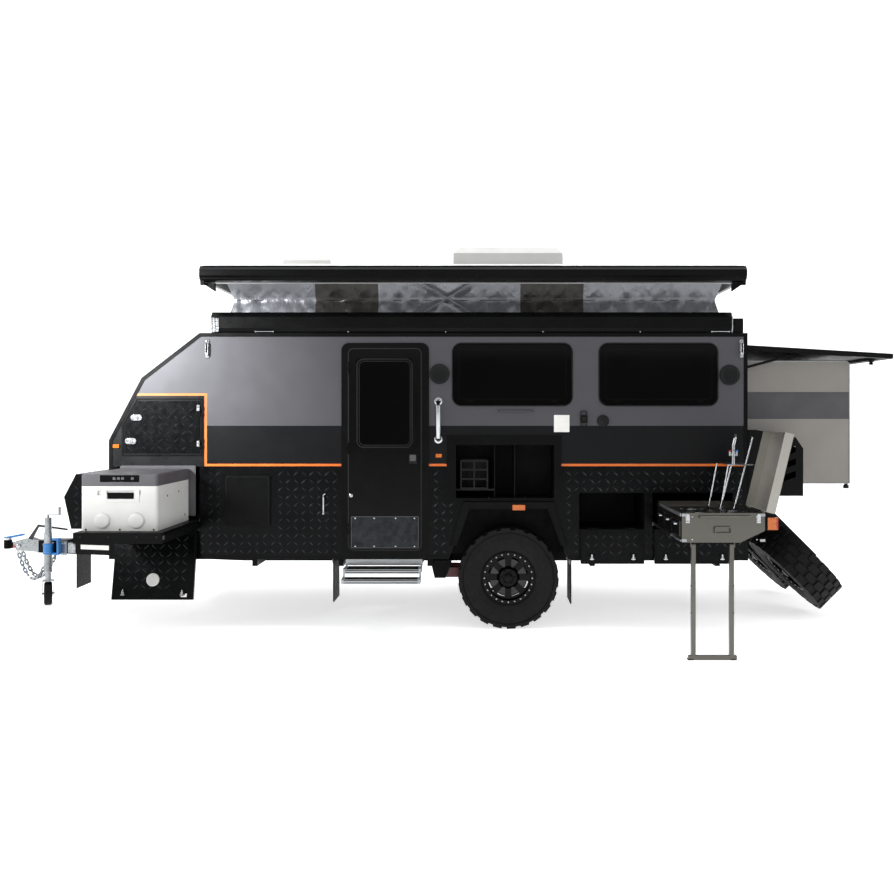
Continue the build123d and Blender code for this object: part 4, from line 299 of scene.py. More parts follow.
class Shape:
    """Collects simple solids in millimetres and turns them into one finished piece."""

    def __init__(self):
        self.mesh = bmesh.new()

    def loop(self, outline, plane, level):
        """Corners of an outline in a plane, at one level along the third axis."""
        corners = []
        for a, b in outline:
            place = [0, 0, 0]
            for axis, value in zip(PLANE_AXES[plane], (a, b, level)):
                place[axis] = value
            corners.append(self.mesh.verts.new(point(*place)))
        return corners

    def circle(self, centre, u, v, radius, sides):
        """Corners on a circle round a centre in the frame's metres."""
        turns = [2 * math.pi * i / sides for i in range(sides)]
        reach = radius / 1000
        return [self.mesh.verts.new(centre + (u * math.cos(t) + v * math.sin(t)) * reach) for t in turns]

    def bridge(self, one, two):
        """Faces between two loops with equal counts of corners."""
        for i in range(len(one)):
            j = (i + 1) % len(one)
            self.mesh.faces.new((one[i], one[j], two[j], two[i]))

    def close(self, first, last):
        """Flat ends on the first and the last loop."""
        self.mesh.faces.new(first[::-1])
        self.mesh.faces.new(last)

    def prism(self, outline, plane, low, high):
        """Outline pushed along the axis that its plane leaves out, between two limits."""
        loops = [self.loop(outline, plane, level) for level in (low, high)]
        self.close(*loops)
        self.bridge(*loops)

    def box(self, x, y, z):
        """Block between limits."""
        self.prism([(x[0], z[0]), (x[1], z[0]), (x[1], z[1]), (x[0], z[1])], "xz", *y)

    def panel(self, x, z, y, r):
        """Plate facing the side, with rounded corners."""
        self.prism(rounded(x, z, r), "xz", *y)

    def frame(self, x, z, y, r, border):
        """Rounded ring facing the side."""
        inner = rounded((x[0] + border, x[1] - border), (z[0] + border, z[1] - border), max(r - border, 1))
        self.ring(rounded(x, z, r), inner, "xz", *y)

    def ring(self, outer, inner, plane, low, high):
        """Band between two outlines with equal counts of corners."""
        sides = ((outer, low), (outer, high), (inner, high), (inner, low))
        loops = [self.loop(outline, plane, level) for outline, level in sides]
        for k in range(4):
            self.bridge(loops[k], loops[(k + 1) % 4])

    def lathe(self, centre, axis, steps, sides=24):
        """Turned body: steps of distance along the axis and radius."""
        axis = Vector(axis).normalized()
        helper = Vector((0, 0, 1)) if abs(axis.z) < 0.9 else Vector((1, 0, 0))
        u = axis.cross(helper).normalized()
        v = axis.cross(u)
        middle = point(*centre)
        loops = [self.circle(middle + axis * away / 1000, u, v, radius, sides) for away, radius in steps]
        for one, two in zip(loops, loops[1:]):
            self.bridge(one, two)
        self.close(loops[0], loops[-1])

    def tube(self, path, radius, sides=10, closed=False):
        """Round tube along points in millimetres."""
        points = [point(*p) for p in path]
        loops = []
        for i, place in enumerate(points):
            before = points[i - 1] if i or closed else place
            after = points[(i + 1) % len(points)] if i + 1 < len(points) or closed else place
            along = (after - before).normalized()
            helper = Vector((0, 0, 1)) if abs(along.z) < 0.95 else Vector((0, 1, 0))
            u = along.cross(helper).normalized()
            loops.append(self.circle(place, u, along.cross(u), radius, sides))
        for one, two in zip(loops, loops[1:]):
            self.bridge(one, two)
        if closed:
            self.bridge(loops[-1], loops[0])
        else:
            self.close(loops[0], loops[-1])

    def turned(self, axis_point, axis, degrees):
        """Swing everything built so far about a line."""
        centre = point(*axis_point)
        spin = Matrix.Rotation(math.radians(degrees), 4, Vector(axis))
        move = Matrix.Translation(centre) @ spin @ Matrix.Translation(-centre)
        self.mesh.transform(move)

    def piece(self, name, body, material, slot, bevel=0.0, smooth=None):
        """Close the shape as a named object with its finish, edge rounding and body."""
        bmesh.ops.recalc_face_normals(self.mesh, faces=self.mesh.faces)
        data = bpy.data.meshes.new(name)
        self.mesh.to_mesh(data)
        self.mesh.free()
        thing = bpy.data.objects.new(name, data)
        bpy.context.scene.collection.objects.link(thing)
        data.materials.append(finish(material) if isinstance(material, str) else material)
        if bevel:
            rounding = thing.modifiers.new("Edge rounding", "BEVEL")
            rounding.width = bevel / 1000
            rounding.segments = 2
            rounding.limit_method = "ANGLE"
            rounding.angle_limit = math.radians(40)
            rounding.harden_normals = True
        if bevel or smooth:
            data.shade_smooth()
            data.set_sharp_from_angle(angle=math.radians(smooth or 40))
        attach(thing, body)
        return thing


def rounded(x, z, r, steps=6):
    """Corners of a rectangle with rounded corners."""
    r = min(r, (x[1] - x[0]) / 2 - 0.01, (z[1] - z[0]) / 2 - 0.01)
    corners = ((x[1] - r, z[1] - r, 0), (x[0] + r, z[1] - r, 90), (x[0] + r, z[0] + r, 180),
               (x[1] - r, z[0] + r, 270))
    outline = []
    for cx, cz, start in corners:
        for i in range(steps + 1):
            turn = math.radians(start + 90 * i / steps)
            outline.append((cx + r * math.cos(turn), cz + r * math.sin(turn)))
    return outline


def circle_path(centre, radius, step):
    """Points on a circle that faces the side, every so many degrees."""
    x, y, z = centre
    turns = [math.radians(degrees) for degrees in range(0, 360, step)]
    return [(x + radius * math.cos(turn), y, z + radius * math.sin(turn)) for turn in turns]


def dress(node, material):
    """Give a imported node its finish."""
    chosen = finish(material) if isinstance(material, str) else material
    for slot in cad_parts[node].material_slots:
        slot.link = "OBJECT"
        slot.material = chosen


def inside(outline, a, b):
    """Whether a point lies inside an outline."""
    hit = False
    for (x0, z0), (x1, z1) in zip(outline, outline[1:] + outline[:1]):
        if (z0 > b) != (z1 > b) and a < x0 + (b - z0) * (x1 - x0) / (z1 - z0):
            hit = not hit
    return hit


# A raised bar's length and width as shares of the pitch, and its height in millimetres
BAR_LENGTH = 0.92
BAR_WIDTH = 0.22
BAR_RISE = 1.7


def tread_bars(shape, outline, origin, right, up, out, pitch, holes=()):
    """Raised bars of tread plate in a chequered order over one flat outline."""
    origin, right, up, out = point(*origin), Vector(right), Vector(up), Vector(out)
    xs = [p[0] for p in outline]
    zs = [p[1] for p in outline]
    rows = int((max(zs) - min(zs)) / pitch) + 1
    columns = int((max(xs) - min(xs)) / pitch) + 1
    half_l, half_w = pitch * BAR_LENGTH / 2, pitch * BAR_WIDTH / 2
    for i in range(columns):
        for j in range(rows):
            a = min(xs) + (i + 0.5) * pitch
            b = min(zs) + (j + 0.5) * pitch
            spots = [(a + s * half_l * 0.75, b + t * half_l * 0.75) for s in (-1, 1) for t in (-1, 1)]
            if not all(inside(outline, *spot) for spot in spots):
                continue
            if any(inside(hole, *spot) for hole in holes for spot in spots + [(a, b)]):
                continue
            lean = 45 if (i + j) % 2 else -45
            c, s = math.cos(math.radians(lean)), math.sin(math.radians(lean))
            low, high = [], []
            for u, v in ((-half_l, 0), (0, -half_w), (half_l, 0), (0, half_w)):
                for scale, height, ring in ((1, 0, low), (0.6, BAR_RISE, high)):
                    along = u * c * scale - v * s * scale
                    across = u * s * scale + v * c * scale
                    place = origin + (right * (a + along) + up * (b + across) + out * height) / 1000
                    ring.append(shape.mesh.verts.new(place))
            for k in range(4):
                n = (k + 1) % 4
                shape.mesh.faces.new((low[k], low[n], high[n], high[k]))
            shape.mesh.faces.new(high)
            shape.mesh.faces.new(low[::-1])


# Stage: camera, floor and lamps, with the settings that a user changes

# Soft lamps: place in metres, turn in degrees, size in metres and watts
LAMPS = (("Overhead", (4.2, -1.0, 6.5), (0, 0, 0), (9, 5), 380),
         ("Front", (4.2, -11, 4.2), (68, 0, 0), (12, 4), 110),
         ("Left", (-6, -5, 3.5), (70, 0, -58), (5, 4), 300),
         ("Right", (15, -5, 3.5), (70, 0, 58), (5, 4), 260),
         ("Behind", (4.2, 8, 5), (-58, 0, 0), (10, 4), 260))
# One spot brightens the front of the near wall, as in the photograph
WASH_WATTS = 3000
WASH_PLACE = (-0.5, -5.0, 2.6)
WASH_AIM = (1.6, -1.12, 1.5)
# Floor that curves up into a backdrop behind: Y, and height above the ground in metres
BACKDROP = ((-26, 0), (9, 0), (10.2, 0.25), (11.2, 1.0), (11.8, 2.4), (12, 5), (12, 20))


class StageSettings(bpy.types.PropertyGroup):
    lens: bpy.props.FloatProperty(
        name="Lens", description="Focal length on a 36 mm sensor", default=37.93, min=20, max=120)
    camera_x: bpy.props.FloatProperty(
        name="Camera X", description="Camera's place along the trailer", default=4.337, unit="LENGTH")
    camera_distance: bpy.props.FloatProperty(
        name="Distance", description="Camera to the centre line", default=8.62, unit="LENGTH")
    camera_height: bpy.props.FloatProperty(
        name="Height", description="Camera above the ground", default=1.708, unit="LENGTH")
    floor_colour: bpy.props.StringProperty(
        name="Floor", description="Colour of floor and backdrop", default="#f4f4f4")


class StageBuilder(bpy.types.Operator):
    """Set the camera at the photograph's view, with soft light over a pale floor"""
    bl_idname = "caravan.stage"
    bl_label = "Stage"

    def execute(self, context):
        look = context.scene.caravan_stage
        camera = bpy.data.objects.new("Camera", bpy.data.cameras.new("Camera"))
        context.scene.collection.objects.link(camera)
        camera.location = (look.camera_x, -look.camera_distance, look.camera_height - COUPLING_Z / 1000)
        camera.rotation_euler = (math.radians(90), 0, 0)
        camera.data.lens = look.lens
        camera.data.sensor_width = 36
        camera.data.shift_x = (PHOTO_SIZE / 2 - PHOTO_CENTRE[0]) / PHOTO_SIZE
        camera.data.shift_y = (PHOTO_CENTRE[1] - PHOTO_SIZE / 2) / PHOTO_SIZE
        camera.data.clip_end = 200
        context.scene.camera = camera
        context.scene.view_settings.view_transform = "Standard"
        context.scene.view_settings.look = "None"
        self.ground(context, look)
        self.lights(context)
        return {"FINISHED"}

    def ground(self, context, look):
        data = bpy.data.meshes.new("Floor")
        shape = bmesh.new()
        low = -COUPLING_Z / 1000
        rows = [[shape.verts.new((x, y, low + z)) for y, z in BACKDROP] for x in (-32, 40)]
        for i in range(len(BACKDROP) - 1):
            shape.faces.new((rows[0][i], rows[1][i], rows[1][i + 1], rows[0][i + 1]))
        shape.to_mesh(data)
        shape.free()
        floor = bpy.data.objects.new("Floor", data)
        context.scene.collection.objects.link(floor)
        data.shade_smooth()
        paint = surface("Matt studio paint", {"Roughness": 0.9, "Specular IOR Level": 0.1,
                         "Emission Color": (1, 1, 1, 1), "Emission Strength": 0.62},
                        lambda tree: mottled(tree, 2500, (look.floor_colour, "#f7f7f7"), 3, span=(0.2, 0.8)))
        data.materials.append(paint)

    def lights(self, context):
        world = bpy.data.worlds.new("Studio")
        context.scene.world = world
        world.use_nodes = True
        world.node_tree.nodes["Background"].inputs["Color"].default_value = (1, 1, 1, 1)
        world.node_tree.nodes["Background"].inputs["Strength"].default_value = 0.4
        for name, place, turn, size, power in LAMPS:
            data = bpy.data.lights.new(name, "AREA")
            data.shape = "RECTANGLE"
            data.size, data.size_y = size
            data.energy = power
            lamp = bpy.data.objects.new(name, data)
            lamp.location = place
            lamp.rotation_euler = [math.radians(a) for a in turn]
            context.scene.collection.objects.link(lamp)
        wash = bpy.data.lights.new("Wall wash", "SPOT")
        wash.energy = WASH_WATTS
        wash.spot_size = math.radians(36)
        wash.spot_blend = 1.0
        wash.shadow_soft_size = 0.4
        lamp = bpy.data.objects.new("Wall wash", wash)
        lamp.location = WASH_PLACE
        aim = Vector(WASH_AIM) - Vector(WASH_PLACE)
        lamp.rotation_euler = aim.to_track_quat("-Z", "Y").to_euler()
        context.scene.collection.objects.link(lamp)


# Body: skins, printed band, stripes, and tread plate on the lower walls
BODY_LOOKS = {
    "Black powder coated steel": ("chassis", "wheel_arches", "spare_carriers", "can_holder",
                                  "rear_hatch", "fridge_tray"),
    "Gloss black enamel": ("springs_dampers", "spare_rims", "entry_door", "rim_near", "rim_far"),
    "Dark film faced plywood": ("floor",),
    "Coil coated aluminium composite": ("roof_deck",),
    "Black anodised extrusion": ("edge_trims", "side_frames", "side_fittings", "awning", "roof_edge"),
    "Black painted tread plate": ("skirt_plates", "nose_box", "drop_doors", "storage_door", "tool_door"),
    "Moulded dark polypropylene": ("pantry_basket",),
    "Rubber sheet": ("flaps",),
    "Black tinted acrylic": ("windows", "entry_door_glass"),
    "Mill aluminium": ("entry_step",),
    "Amber lens": ("lamps",),
    "Galvanised steel": ("jockey_tube", "jockey_fork"),
    "Bright zinc plate": ("safety_chains", "kitchen_fittings"),
    "Vulcanised tyre rubber": ("spare_tyres", "jockey_wheel", "tyre_near", "tyre_far"),
    # Kitchen box and leg take the stainless darkened as painted shade
    "Brushed stainless steel": ("kitchen", "kitchen_leg"),
    "White gel coat": ("roof",),
    "Moulded white ABS": ("roof_units", "fridge"),
    "Mid grey ABS": ("fridge_lid",),
    "Bright brushed stainless": ("kitchen_lid",),
    "Warm grey composite skin": ("bed_pod",),
}
SILVER = ("#4c4c50", "#525256")
DARK = ("#0d0e10", "#111214")
BLACK = ("#060607", "#0a0b0c")
RED = ("#42090a", "#560e0d")
GREY = ("#a3a39f", "#adada9")
ZINC = ("#8f9396", "#b4b8ba")
BLUE = ("#0f6fb8", "#1a80cc")


def zoned(name, like, axis, low, zones, fold=False):
    """Finish whose shades change along one axis: each zone's end in millimetres and its two shades."""
    high = zones[-1][0]
    shift = COUPLING_Z if axis == "Z" else 0
    spec = FINISHES[like]

    def bands(tree, share, index):
        node = add_node(tree, "ShaderNodeValToRGB", links={"Fac": share})
        node.color_ramp.interpolation = "CONSTANT"
        elements = node.color_ramp.elements
        while len(elements) < len(zones):
            elements.new(0.5)
        start = low
        for element, (end, shades) in zip(elements, zones):
            element.position = (start - low) / (high - low)
            element.color = linear(shades[index])
            start = end
        return node.outputs["Color"]

    def colour(tree):
        coords = add_node(tree, "ShaderNodeTexCoord")
        parts = add_node(tree, "ShaderNodeSeparateXYZ", links={"Vector": coords.outputs["Object"]})
        place = parts.outputs[axis]
        if fold:
            place = add_node(tree, "ShaderNodeMath", {"operation": "ABSOLUTE"}, links={0: place}).outputs[0]
        share = add_node(tree, "ShaderNodeMapRange",
                         values={"From Min": (low - shift) / 1000, "From Max": (high - shift) / 1000},
                         links={"Value": place}).outputs["Result"]
        mix = add_node(tree, "ShaderNodeMix", {"data_type": "RGBA"},
                       links={0: patches(tree, spec["mottle"], 4), 6: bands(tree, share, 0),
                              7: bands(tree, share, 1)})
        return mix.outputs[2]

    return surface(name, spec["shader"], colour, lambda tree: worn(tree, 140, spec["rough"]),
                   lambda tree: patches(tree, spec["grain"], 2), spec["depth"])


# The stripe runs low along the walls and high over the black corner panel
STRIPE_Z = 1310
HIGH_STRIPE_Z = 1871
CORNER_X = 2128
STRIPE_RUNS = (("near", (NEAR - 0.8, NEAR), ((CORNER_X, 3219), (3915, 4056), (4969, 6421))),
               ("far", (FAR, FAR + 0.8), ((CORNER_X, 6421),)))


class BodySettings(bpy.types.PropertyGroup):
    stripe_width: bpy.props.FloatProperty(
        name="Stripe width", description="Width of the orange stripe in millimetres", default=19,
        min=5, max=60)
    stripe_height: bpy.props.FloatProperty(
        name="Stripe height", description="Middle of the stripe above the ground in millimetres",
        default=STRIPE_Z)
    bar_pitch: bpy.props.FloatProperty(
        name="Tread bar pitch", description="Spacing of the tread plate's bars in millimetres", default=62,
        min=15, max=90)


class BodyBuilder(bpy.types.Operator):
    """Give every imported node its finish, with the printed zones of the body's skins"""
    bl_idname = "caravan.body"
    bl_label = "Body skins"

    def execute(self, context):
        for look, nodes in BODY_LOOKS.items():
            for node in nodes:
                dress(node, look)
        skin = "Coil coated aluminium composite"
        walls = zoned("Printed composite side wall", skin, "Z", BODY_LOW,
                      ((STRIPE_Z, BLACK), (BAND_Z[1], DARK), (BODY_TOP, SILVER)))
        for node in ("wall_near", "wall_far", "rear_wall"):
            dress(node, walls)
        dress("nose_panels", zoned("Printed composite nose", skin, "Z", BODY_LOW,
                                   ((STRIPE_Z, BLACK), (HIGH_STRIPE_Z, DARK), (BODY_TOP, SILVER))))
        dress("locker_linings", zoned("Grey tunnel lining, dark lockers", "Dark film faced plywood", "X",
                                      FRONT_X, ((2110, GREY), (REAR_X, BLACK))))
        dress("axle_arms", zoned("Red arms with black drums", "Dark red chassis paint", "Y", 0,
                                 ((785, RED), (1200, BLACK)), fold=True))
        dress("coupling", zoned("Galvanised coupling with a black head", "Galvanised steel", "X", -60,
                                ((58, BLACK), (400, ZINC))))
        dress("coupling_levers", zoned("Blue release lever, dark brake lever", "Blue enamel", "X", -60,
                                       ((185, BLUE), (700, DARK))))
        return {"FINISHED"}


class StripeBuilder(bpy.types.Operator):
    """Lay the orange stripes and the black corner panel on the near and far walls"""
    bl_idname = "caravan.stripes"
    bl_label = "Stripes"

    def execute(self, context):
        look = context.scene.caravan_body
        half = look.stripe_width / 2
        low, high = look.stripe_height - half, look.stripe_height + half
        corner_low, corner_high = HIGH_STRIPE_Z - half, HIGH_STRIPE_Z + half
        for label, y, runs in STRIPE_RUNS:
            stripes = Shape()
            for x in runs:
                stripes.box(x, y, (low, high))
            stripes.box((CORNER_X, CORNER_X + 2 * half), y, (high, corner_high))
            stripes.prism([(1581, corner_low), (CORNER_X, corner_low), (CORNER_X, corner_high),
                           (1594, corner_high)], "xz", *y)
            stripes.piece(f"stripes_{label}", "trailer", "Orange vinyl film", "silver_panel")
            corner = Shape()
            outline = [(1398, 1298), (CORNER_X, 1298), (CORNER_X, corner_low), (1578, corner_low),
                       (1398, 1520)]
            corner.prism(outline, "xz", y[0] + 0.4 if y[0] < 0 else y[0], y[1] if y[0] < 0 else y[1] - 0.4)
            corner.piece(f"corner_panel_{label}", "trailer", "Printed dark film", "silver_panel")
        return {"FINISHED"}


DOOR_HOLE = [(3215, 500), (3919, 500), (3919, 1400), (3215, 1400)]
PANTRY_HOLE = [(4050, 1030), (4975, 1030), (4975, 1560), (4050, 1560)]
ARCH_HOLE = [(4030, 500), (5066, 500), (4930, 1040), (4166, 1040)]


def hole(x0, x1, z0, z1, grow=6):
    """Rectangle drawn out all round, kept clear of tread bars."""
    return [(x0 - grow, z0 - grow), (x1 + grow, z0 - grow), (x1 + grow, z1 + grow), (x0 - grow, z1 + grow)]


class TreadPlateBuilder(bpy.types.Operator):
    """Raise the bars of the tread plate on skirts, lockers and nose box"""
    bl_idname = "caravan.tread_plate"
    bl_label = "Tread plate"

    def execute(self, context):
        pitch = context.scene.caravan_body.bar_pitch
        outline = [(1399, 592), (6419, 592), (6419, PLATE_TOP - 3), (1399, PLATE_TOP - 3)]
        holes_near = [hole(1434, 2089, 780, 1328), DOOR_HOLE, PANTRY_HOLE, ARCH_HOLE,
                      hole(5110, 5630, 800, 1088), hole(5694, 6334, 800, 1088), hole(2293, 2655, 824, 1230)]
        near = Shape()
        tread_bars(near, outline, (0, NEAR - 2, 0), TO_REAR, UP, TO_NEAR, pitch, holes_near)
        # The bars' finish is painted lighter than the plate, as painted sheen
        near.piece("tread_bars_near", "trailer", "Dark metal with painted sheen", "checker_plate")
        far = Shape()
        tread_bars(far, outline, (0, FAR + 2, 0), TO_REAR, UP, TO_FAR, pitch,
                   [hole(1410, 2113, 756, 1352), ARCH_HOLE])
        far.piece("tread_bars_far", "trailer", "Dark metal with painted sheen", "checker_plate")
        self.nose_box(pitch)
        return {"FINISHED"}

    def nose_box(self, pitch):
        side = [(1360, 1209), (953, 1209), (857, 1024), (914, 764), (1360, 764)]
        guard = Shape()
        tread_bars(guard, side, (0, -760, 0), TO_REAR, UP, TO_NEAR, pitch)
        tread_bars(guard, side, (0, 760, 0), TO_REAR, UP, TO_FAR, pitch)
        for (x0, z0), (x1, z1) in (((949, 1216), (849, 1024)), ((849, 1024), (908, 757))):
            along = Vector((x1 - x0, 0, z1 - z0))
            length = along.length
            along.normalize()
            out = Vector((along.z, 0, -along.x))
            flat = [(-752, 6), (752, 6), (752, length - 6), (-752, length - 6)]
            tread_bars(guard, flat, (x0, 0, z0), TO_FAR, along, out, pitch)
        top = [(956, -752), (1360, -752), (1360, 752), (956, 752)]
        tread_bars(guard, top, (0, 0, 1216), TO_REAR, TO_FAR, UP, pitch)
        guard.piece("tread_bars_nose_box", "trailer", "Dark metal with painted sheen", "checker_plate")




# Entry door, windows and the fittings round them
DOOR_FACE = NEAR - 12


def door_seal():
    """Rubber seal round the opening."""
    seal = Shape()
    seal.frame((3270, 3859), (628, 2241), (DOOR_FACE - 1.5, DOOR_FACE + 4), 46, 9)
    seal.piece("entry_door_seal", "trailer", "Rubber sheet", "black_trim")


def kick_plate():
    """Sheet with painted sheen over the plate's face, its edge and its rivets."""
    kick = Shape()
    edge = Shape()
    edge.frame((3296, 3833), (650, 902), (DOOR_FACE - 3.2, DOOR_FACE - 2), 6, 5)
    sheet = Shape()
    sheet.panel((3301, 3828), (655, 897), (DOOR_FACE - 2.4, DOOR_FACE - 1.6), 4)
    sheet.piece("kick_plate_sheet", "entry_leaf", "Dark metal with painted sheen", "chrome")
    edge.piece("kick_plate_edge", "entry_leaf", "Mid grey ABS", "chrome")
    for x in (3330, 3480, 3650, 3800):
        for z in (664, 888):
            kick.lathe((x, DOOR_FACE - 2, z), TO_NEAR, ((0, 6), (1.6, 6), (2.8, 3.4)), 12)
    kick.piece("kick_plate_rivets", "entry_leaf", "Bright zinc plate", "chrome")


def door_bezel():
    """Inner lines of the frame that holds the door's glass."""
    bezel = Shape()
    bezel.frame((3338, 3788), (1446, 2158), (DOOR_FACE - 6.5, DOOR_FACE - 4.5), 58, 12)
    bezel.frame((3356, 3770), (1464, 2140), (DOOR_FACE - 1, DOOR_FACE + 3), 46, 8)
    bezel.piece("entry_door_bezel", "entry_leaf", "Moulded dark polypropylene", "black_trim", bevel=0.8)


def door_lock():
    """Lock plate with its key hole, and the grip in it."""
    lock = Shape()
    lock.panel((3756, 3820), (1322, 1398), (DOOR_FACE - 9, DOOR_FACE - 7.5), 8)
    lock.lathe((3812, DOOR_FACE - 8, 1336), TO_NEAR, ((0, 8), (3, 8), (4, 6)), 16)
    lock.piece("entry_door_lock", "entry_leaf", "Moulded dark polypropylene", "black_trim", bevel=0.6)
    grip = Shape()
    grip.panel((3764, 3812), (1342, 1392), (DOOR_FACE - 18, DOOR_FACE - 15), 6)
    grip.piece("entry_door_grip", "entry_leaf", "Mid grey ABS", "chrome", bevel=1.2)


def door_catch_and_pins():
    """Catch at the front edge and the ends of the hinge pins."""
    catch = Shape()
    catch.lathe((3296, DOOR_FACE, 1068), TO_NEAR, ((0, 14), (3, 14), (5, 9), (9, 6)), 20)
    catch.piece("entry_door_catch", "entry_leaf", "Bright zinc plate", "chrome")
    hinges = Shape()
    for z in (820, 1440, 2060):
        hinges.lathe((3274, NEAR - 18, z - 4), UP, ((0, 5.2), (0, 5.2), (4, 5.2)), 12)
    hinges.piece("entry_door_pins", "trailer", "Bright zinc plate", "chrome")


class DoorBuilder(bpy.types.Operator):
    """Add seals, screws, inner window frame, catch and lock to the entry door"""
    bl_idname = "caravan.entry_door"
    bl_label = "Entry door"

    def execute(self, context):
        door_seal()
        kick_plate()
        door_bezel()
        door_lock()
        door_catch_and_pins()
        return {"FINISHED"}


# Windows of each side: front and rear edge; all share the same sill and head
WINDOW_X = ((-1, ((4124, 5034), (5291, 6192))), (1, ((2700, 3610), (5291, 6192))))
WINDOW_Z = (1804, 2257)


class WindowBuilder(bpy.types.Operator):
    """Add the rubber seals and the inner lines of the windows"""
    bl_idname = "caravan.windows"
    bl_label = "Windows"

    def execute(self, context):
        frames = Shape()
        inner = Shape()
        z0, z1 = WINDOW_Z
        for sign, edges in WINDOW_X:
            face = sign * FAR
            for x0, x1 in edges:
                outer = sorted((face + sign * 0.5, face + sign * 3))
                frames.frame((x0 - 28, x1 + 28), (z0 - 28, z1 + 28), outer, 78, 11)
                pane = sorted((face + sign * 14, face + sign * 14.8))
                inner.frame((x0 + 26, x1 - 26), (z0 + 26, z1 - 26), pane, 30, 5)
                for x in (x0 + 120, x1 - 120):
                    inner.box((x - 24, x + 24), pane, (z0 + 8, z0 + 18))
        frames.piece("window_seals", "trailer", "Rubber sheet", "window_glass")
        inner.piece("window_inner_lines", "trailer", "Gloss black enamel", "window_glass")
        return {"FINISHED"}


# Fittings on the near wall
SPEAKERS = ((3999, 2034), (6308, 2026))
GRAB_X = 3990
GRAB_Z = (1514, 1818)
TOGGLE_XS = (2151, 6401)
STAY_X = 3079


def speaker_grilles():
    """Rim, rings and spokes over the two speakers."""
    speakers = Shape()
    face = NEAR - 16
    for x, z in SPEAKERS:
        speakers.lathe((x, face, z), TO_NEAR, ((0, 79), (2, 79), (4, 74), (4, 66), (1, 60)), 36)
        for r in (18, 32, 46):
            speakers.tube(circle_path((x, face - 2.4, z), r, 20), 2.2, 6, closed=True)
        for a in range(0, 360, 60):
            c, s = math.cos(math.radians(a)), math.sin(math.radians(a))
            speakers.tube([(x + 8 * c, face - 3, z + 8 * s), (x + 62 * c, face - 3, z + 62 * s)], 2.4, 6)
    speakers.piece("speaker_grilles", "trailer", "Moulded dark polypropylene", "chrome", smooth=50)


def grab_handle():
    """Bright sleeve over the grab handle, with a foot at each end."""
    grab = Shape()
    low, high = GRAB_Z
    bends = ((2, low), (38, low + 6), (45, low + 34), (45, high - 36), (38, high - 6), (2, high))
    grab.tube([(GRAB_X, NEAR - away, z) for away, z in bends], 21, 14)
    for z in GRAB_Z:
        grab.lathe((GRAB_X, NEAR, z), TO_NEAR, ((0, 32), (5, 32), (9, 24)), 20)
    grab.piece("grab_handle_sleeve", "trailer", "Bright zinc plate", "chrome", smooth=60)


def roof_toggles():
    """Latches that hold the roof down, one at each end."""
    toggles = Shape()
    for x in TOGGLE_XS:
        toggles.panel((x - 14, x + 14), (2164, 2308), (NEAR - 7.5, NEAR - 6), 6)
        path = [(x - 9, NEAR - 24, 2190), (x - 9, NEAR - 26, 2275), (x, NEAR - 27, 2288),
                (x + 9, NEAR - 26, 2275), (x + 9, NEAR - 24, 2190)]
        toggles.tube(path, 2.8, 8, closed=True)
        toggles.box((x - 10, x + 10), (NEAR - 26, NEAR - 22), (2178, 2204))
        toggles.lathe((x, NEAR - 7, 2296), TO_NEAR, ((0, 8), (14, 8), (18, 5)), 14)
    toggles.piece("roof_toggles", "trailer", "Bright zinc plate", "chrome", bevel=0.5)


def socket_covers():
    """Hinged covers of the tall socket and of the round inlet."""
    covers = Shape()
    covers.frame((5120, 5174), (1616, 1740), (NEAR - 21, NEAR - 1), 9, 5)
    covers.panel((5130, 5164), (1658, 1694), (NEAR - 20.5, NEAR - 18), 5)
    covers.lathe((5300, NEAR - 12, 1660), TO_NEAR, ((0, 46), (3, 46), (6, 40), (6, 30), (9, 26)), 32)
    covers.box((5292, 5308), (NEAR - 24, NEAR - 20), (1638, 1682))
    covers.piece("socket_covers", "trailer", "Moulded dark polypropylene", "chrome", bevel=0.8)


def slot_light():
    """Slim light over the pantry opening: body and lens."""
    light = Shape()
    light.panel((4465, 4744), (1733, 1747), (NEAR - 14, NEAR), 6)
    light.piece("slot_light_body", "trailer", "Black anodised extrusion", "chrome", bevel=1.0)
    lens = Shape()
    lens.panel((4470, 4739), (1735, 1744), (NEAR - 15.5, NEAR - 14), 4)
    lens.piece("slot_light_lens", "trailer", "Mid grey ABS", "white_gloss")


def blank_card():
    """Card where the photograph shows a printed notice."""
    card = Shape()
    card.panel((4910, 5033), (1572, 1708), (NEAR - 2, NEAR - 0.8), 3)
    card.piece("blank_card", "trailer", "Blank card", "white_gloss")


def door_stay():
    """Rod that holds the entry door open."""
    stay = Shape()
    x = STAY_X
    stay.tube([(x, NEAR - 34, 930), (x, NEAR - 34, 1060)], 7.5, 12)
    stay.tube([(x, NEAR - 34, 1052), (x, NEAR - 40, 1076), (x + 17, NEAR - 44, 1084)], 5, 10)
    stay.lathe((x, NEAR - 2, 927), TO_NEAR, ((0, 14), (4, 14), (7, 9), (36, 8)), 14)
    stay.piece("door_stay_rod", "trailer", "Bright zinc plate", "chrome", smooth=60)


def pantry_rim():
    """Rim round the pantry opening, painted lighter as painted sheen, with its screws."""
    rim = Shape()
    rim.frame((4062, 4968), (1036, 1527), (NEAR - 5, NEAR - 1), 44, 9)
    for x in (4100, 4390, 4680, 4930):
        for z in (1047, 1516):
            rim.lathe((x, NEAR - 1, z), TO_NEAR, ((0, 7), (5, 7), (7, 4)), 12)
    rim.piece("pantry_rim", "trailer", "Dark metal with painted sheen", "chrome", bevel=0.8)


def vent_cover_rim():
    """Rim of the vent cover in the front side wall."""
    vent = Shape()
    vent.frame((2300, 2648), (831, 1223), (NEAR - 20, NEAR - 16), 12, 14)
    for x in (2318, 2630):
        for z in (849, 1205):
            vent.lathe((x, NEAR - 20, z), TO_NEAR, SMALL_SCREW, 10)
    vent.piece("vent_cover_rim", "trailer", "Black powder coated steel", "chrome", bevel=1.0)


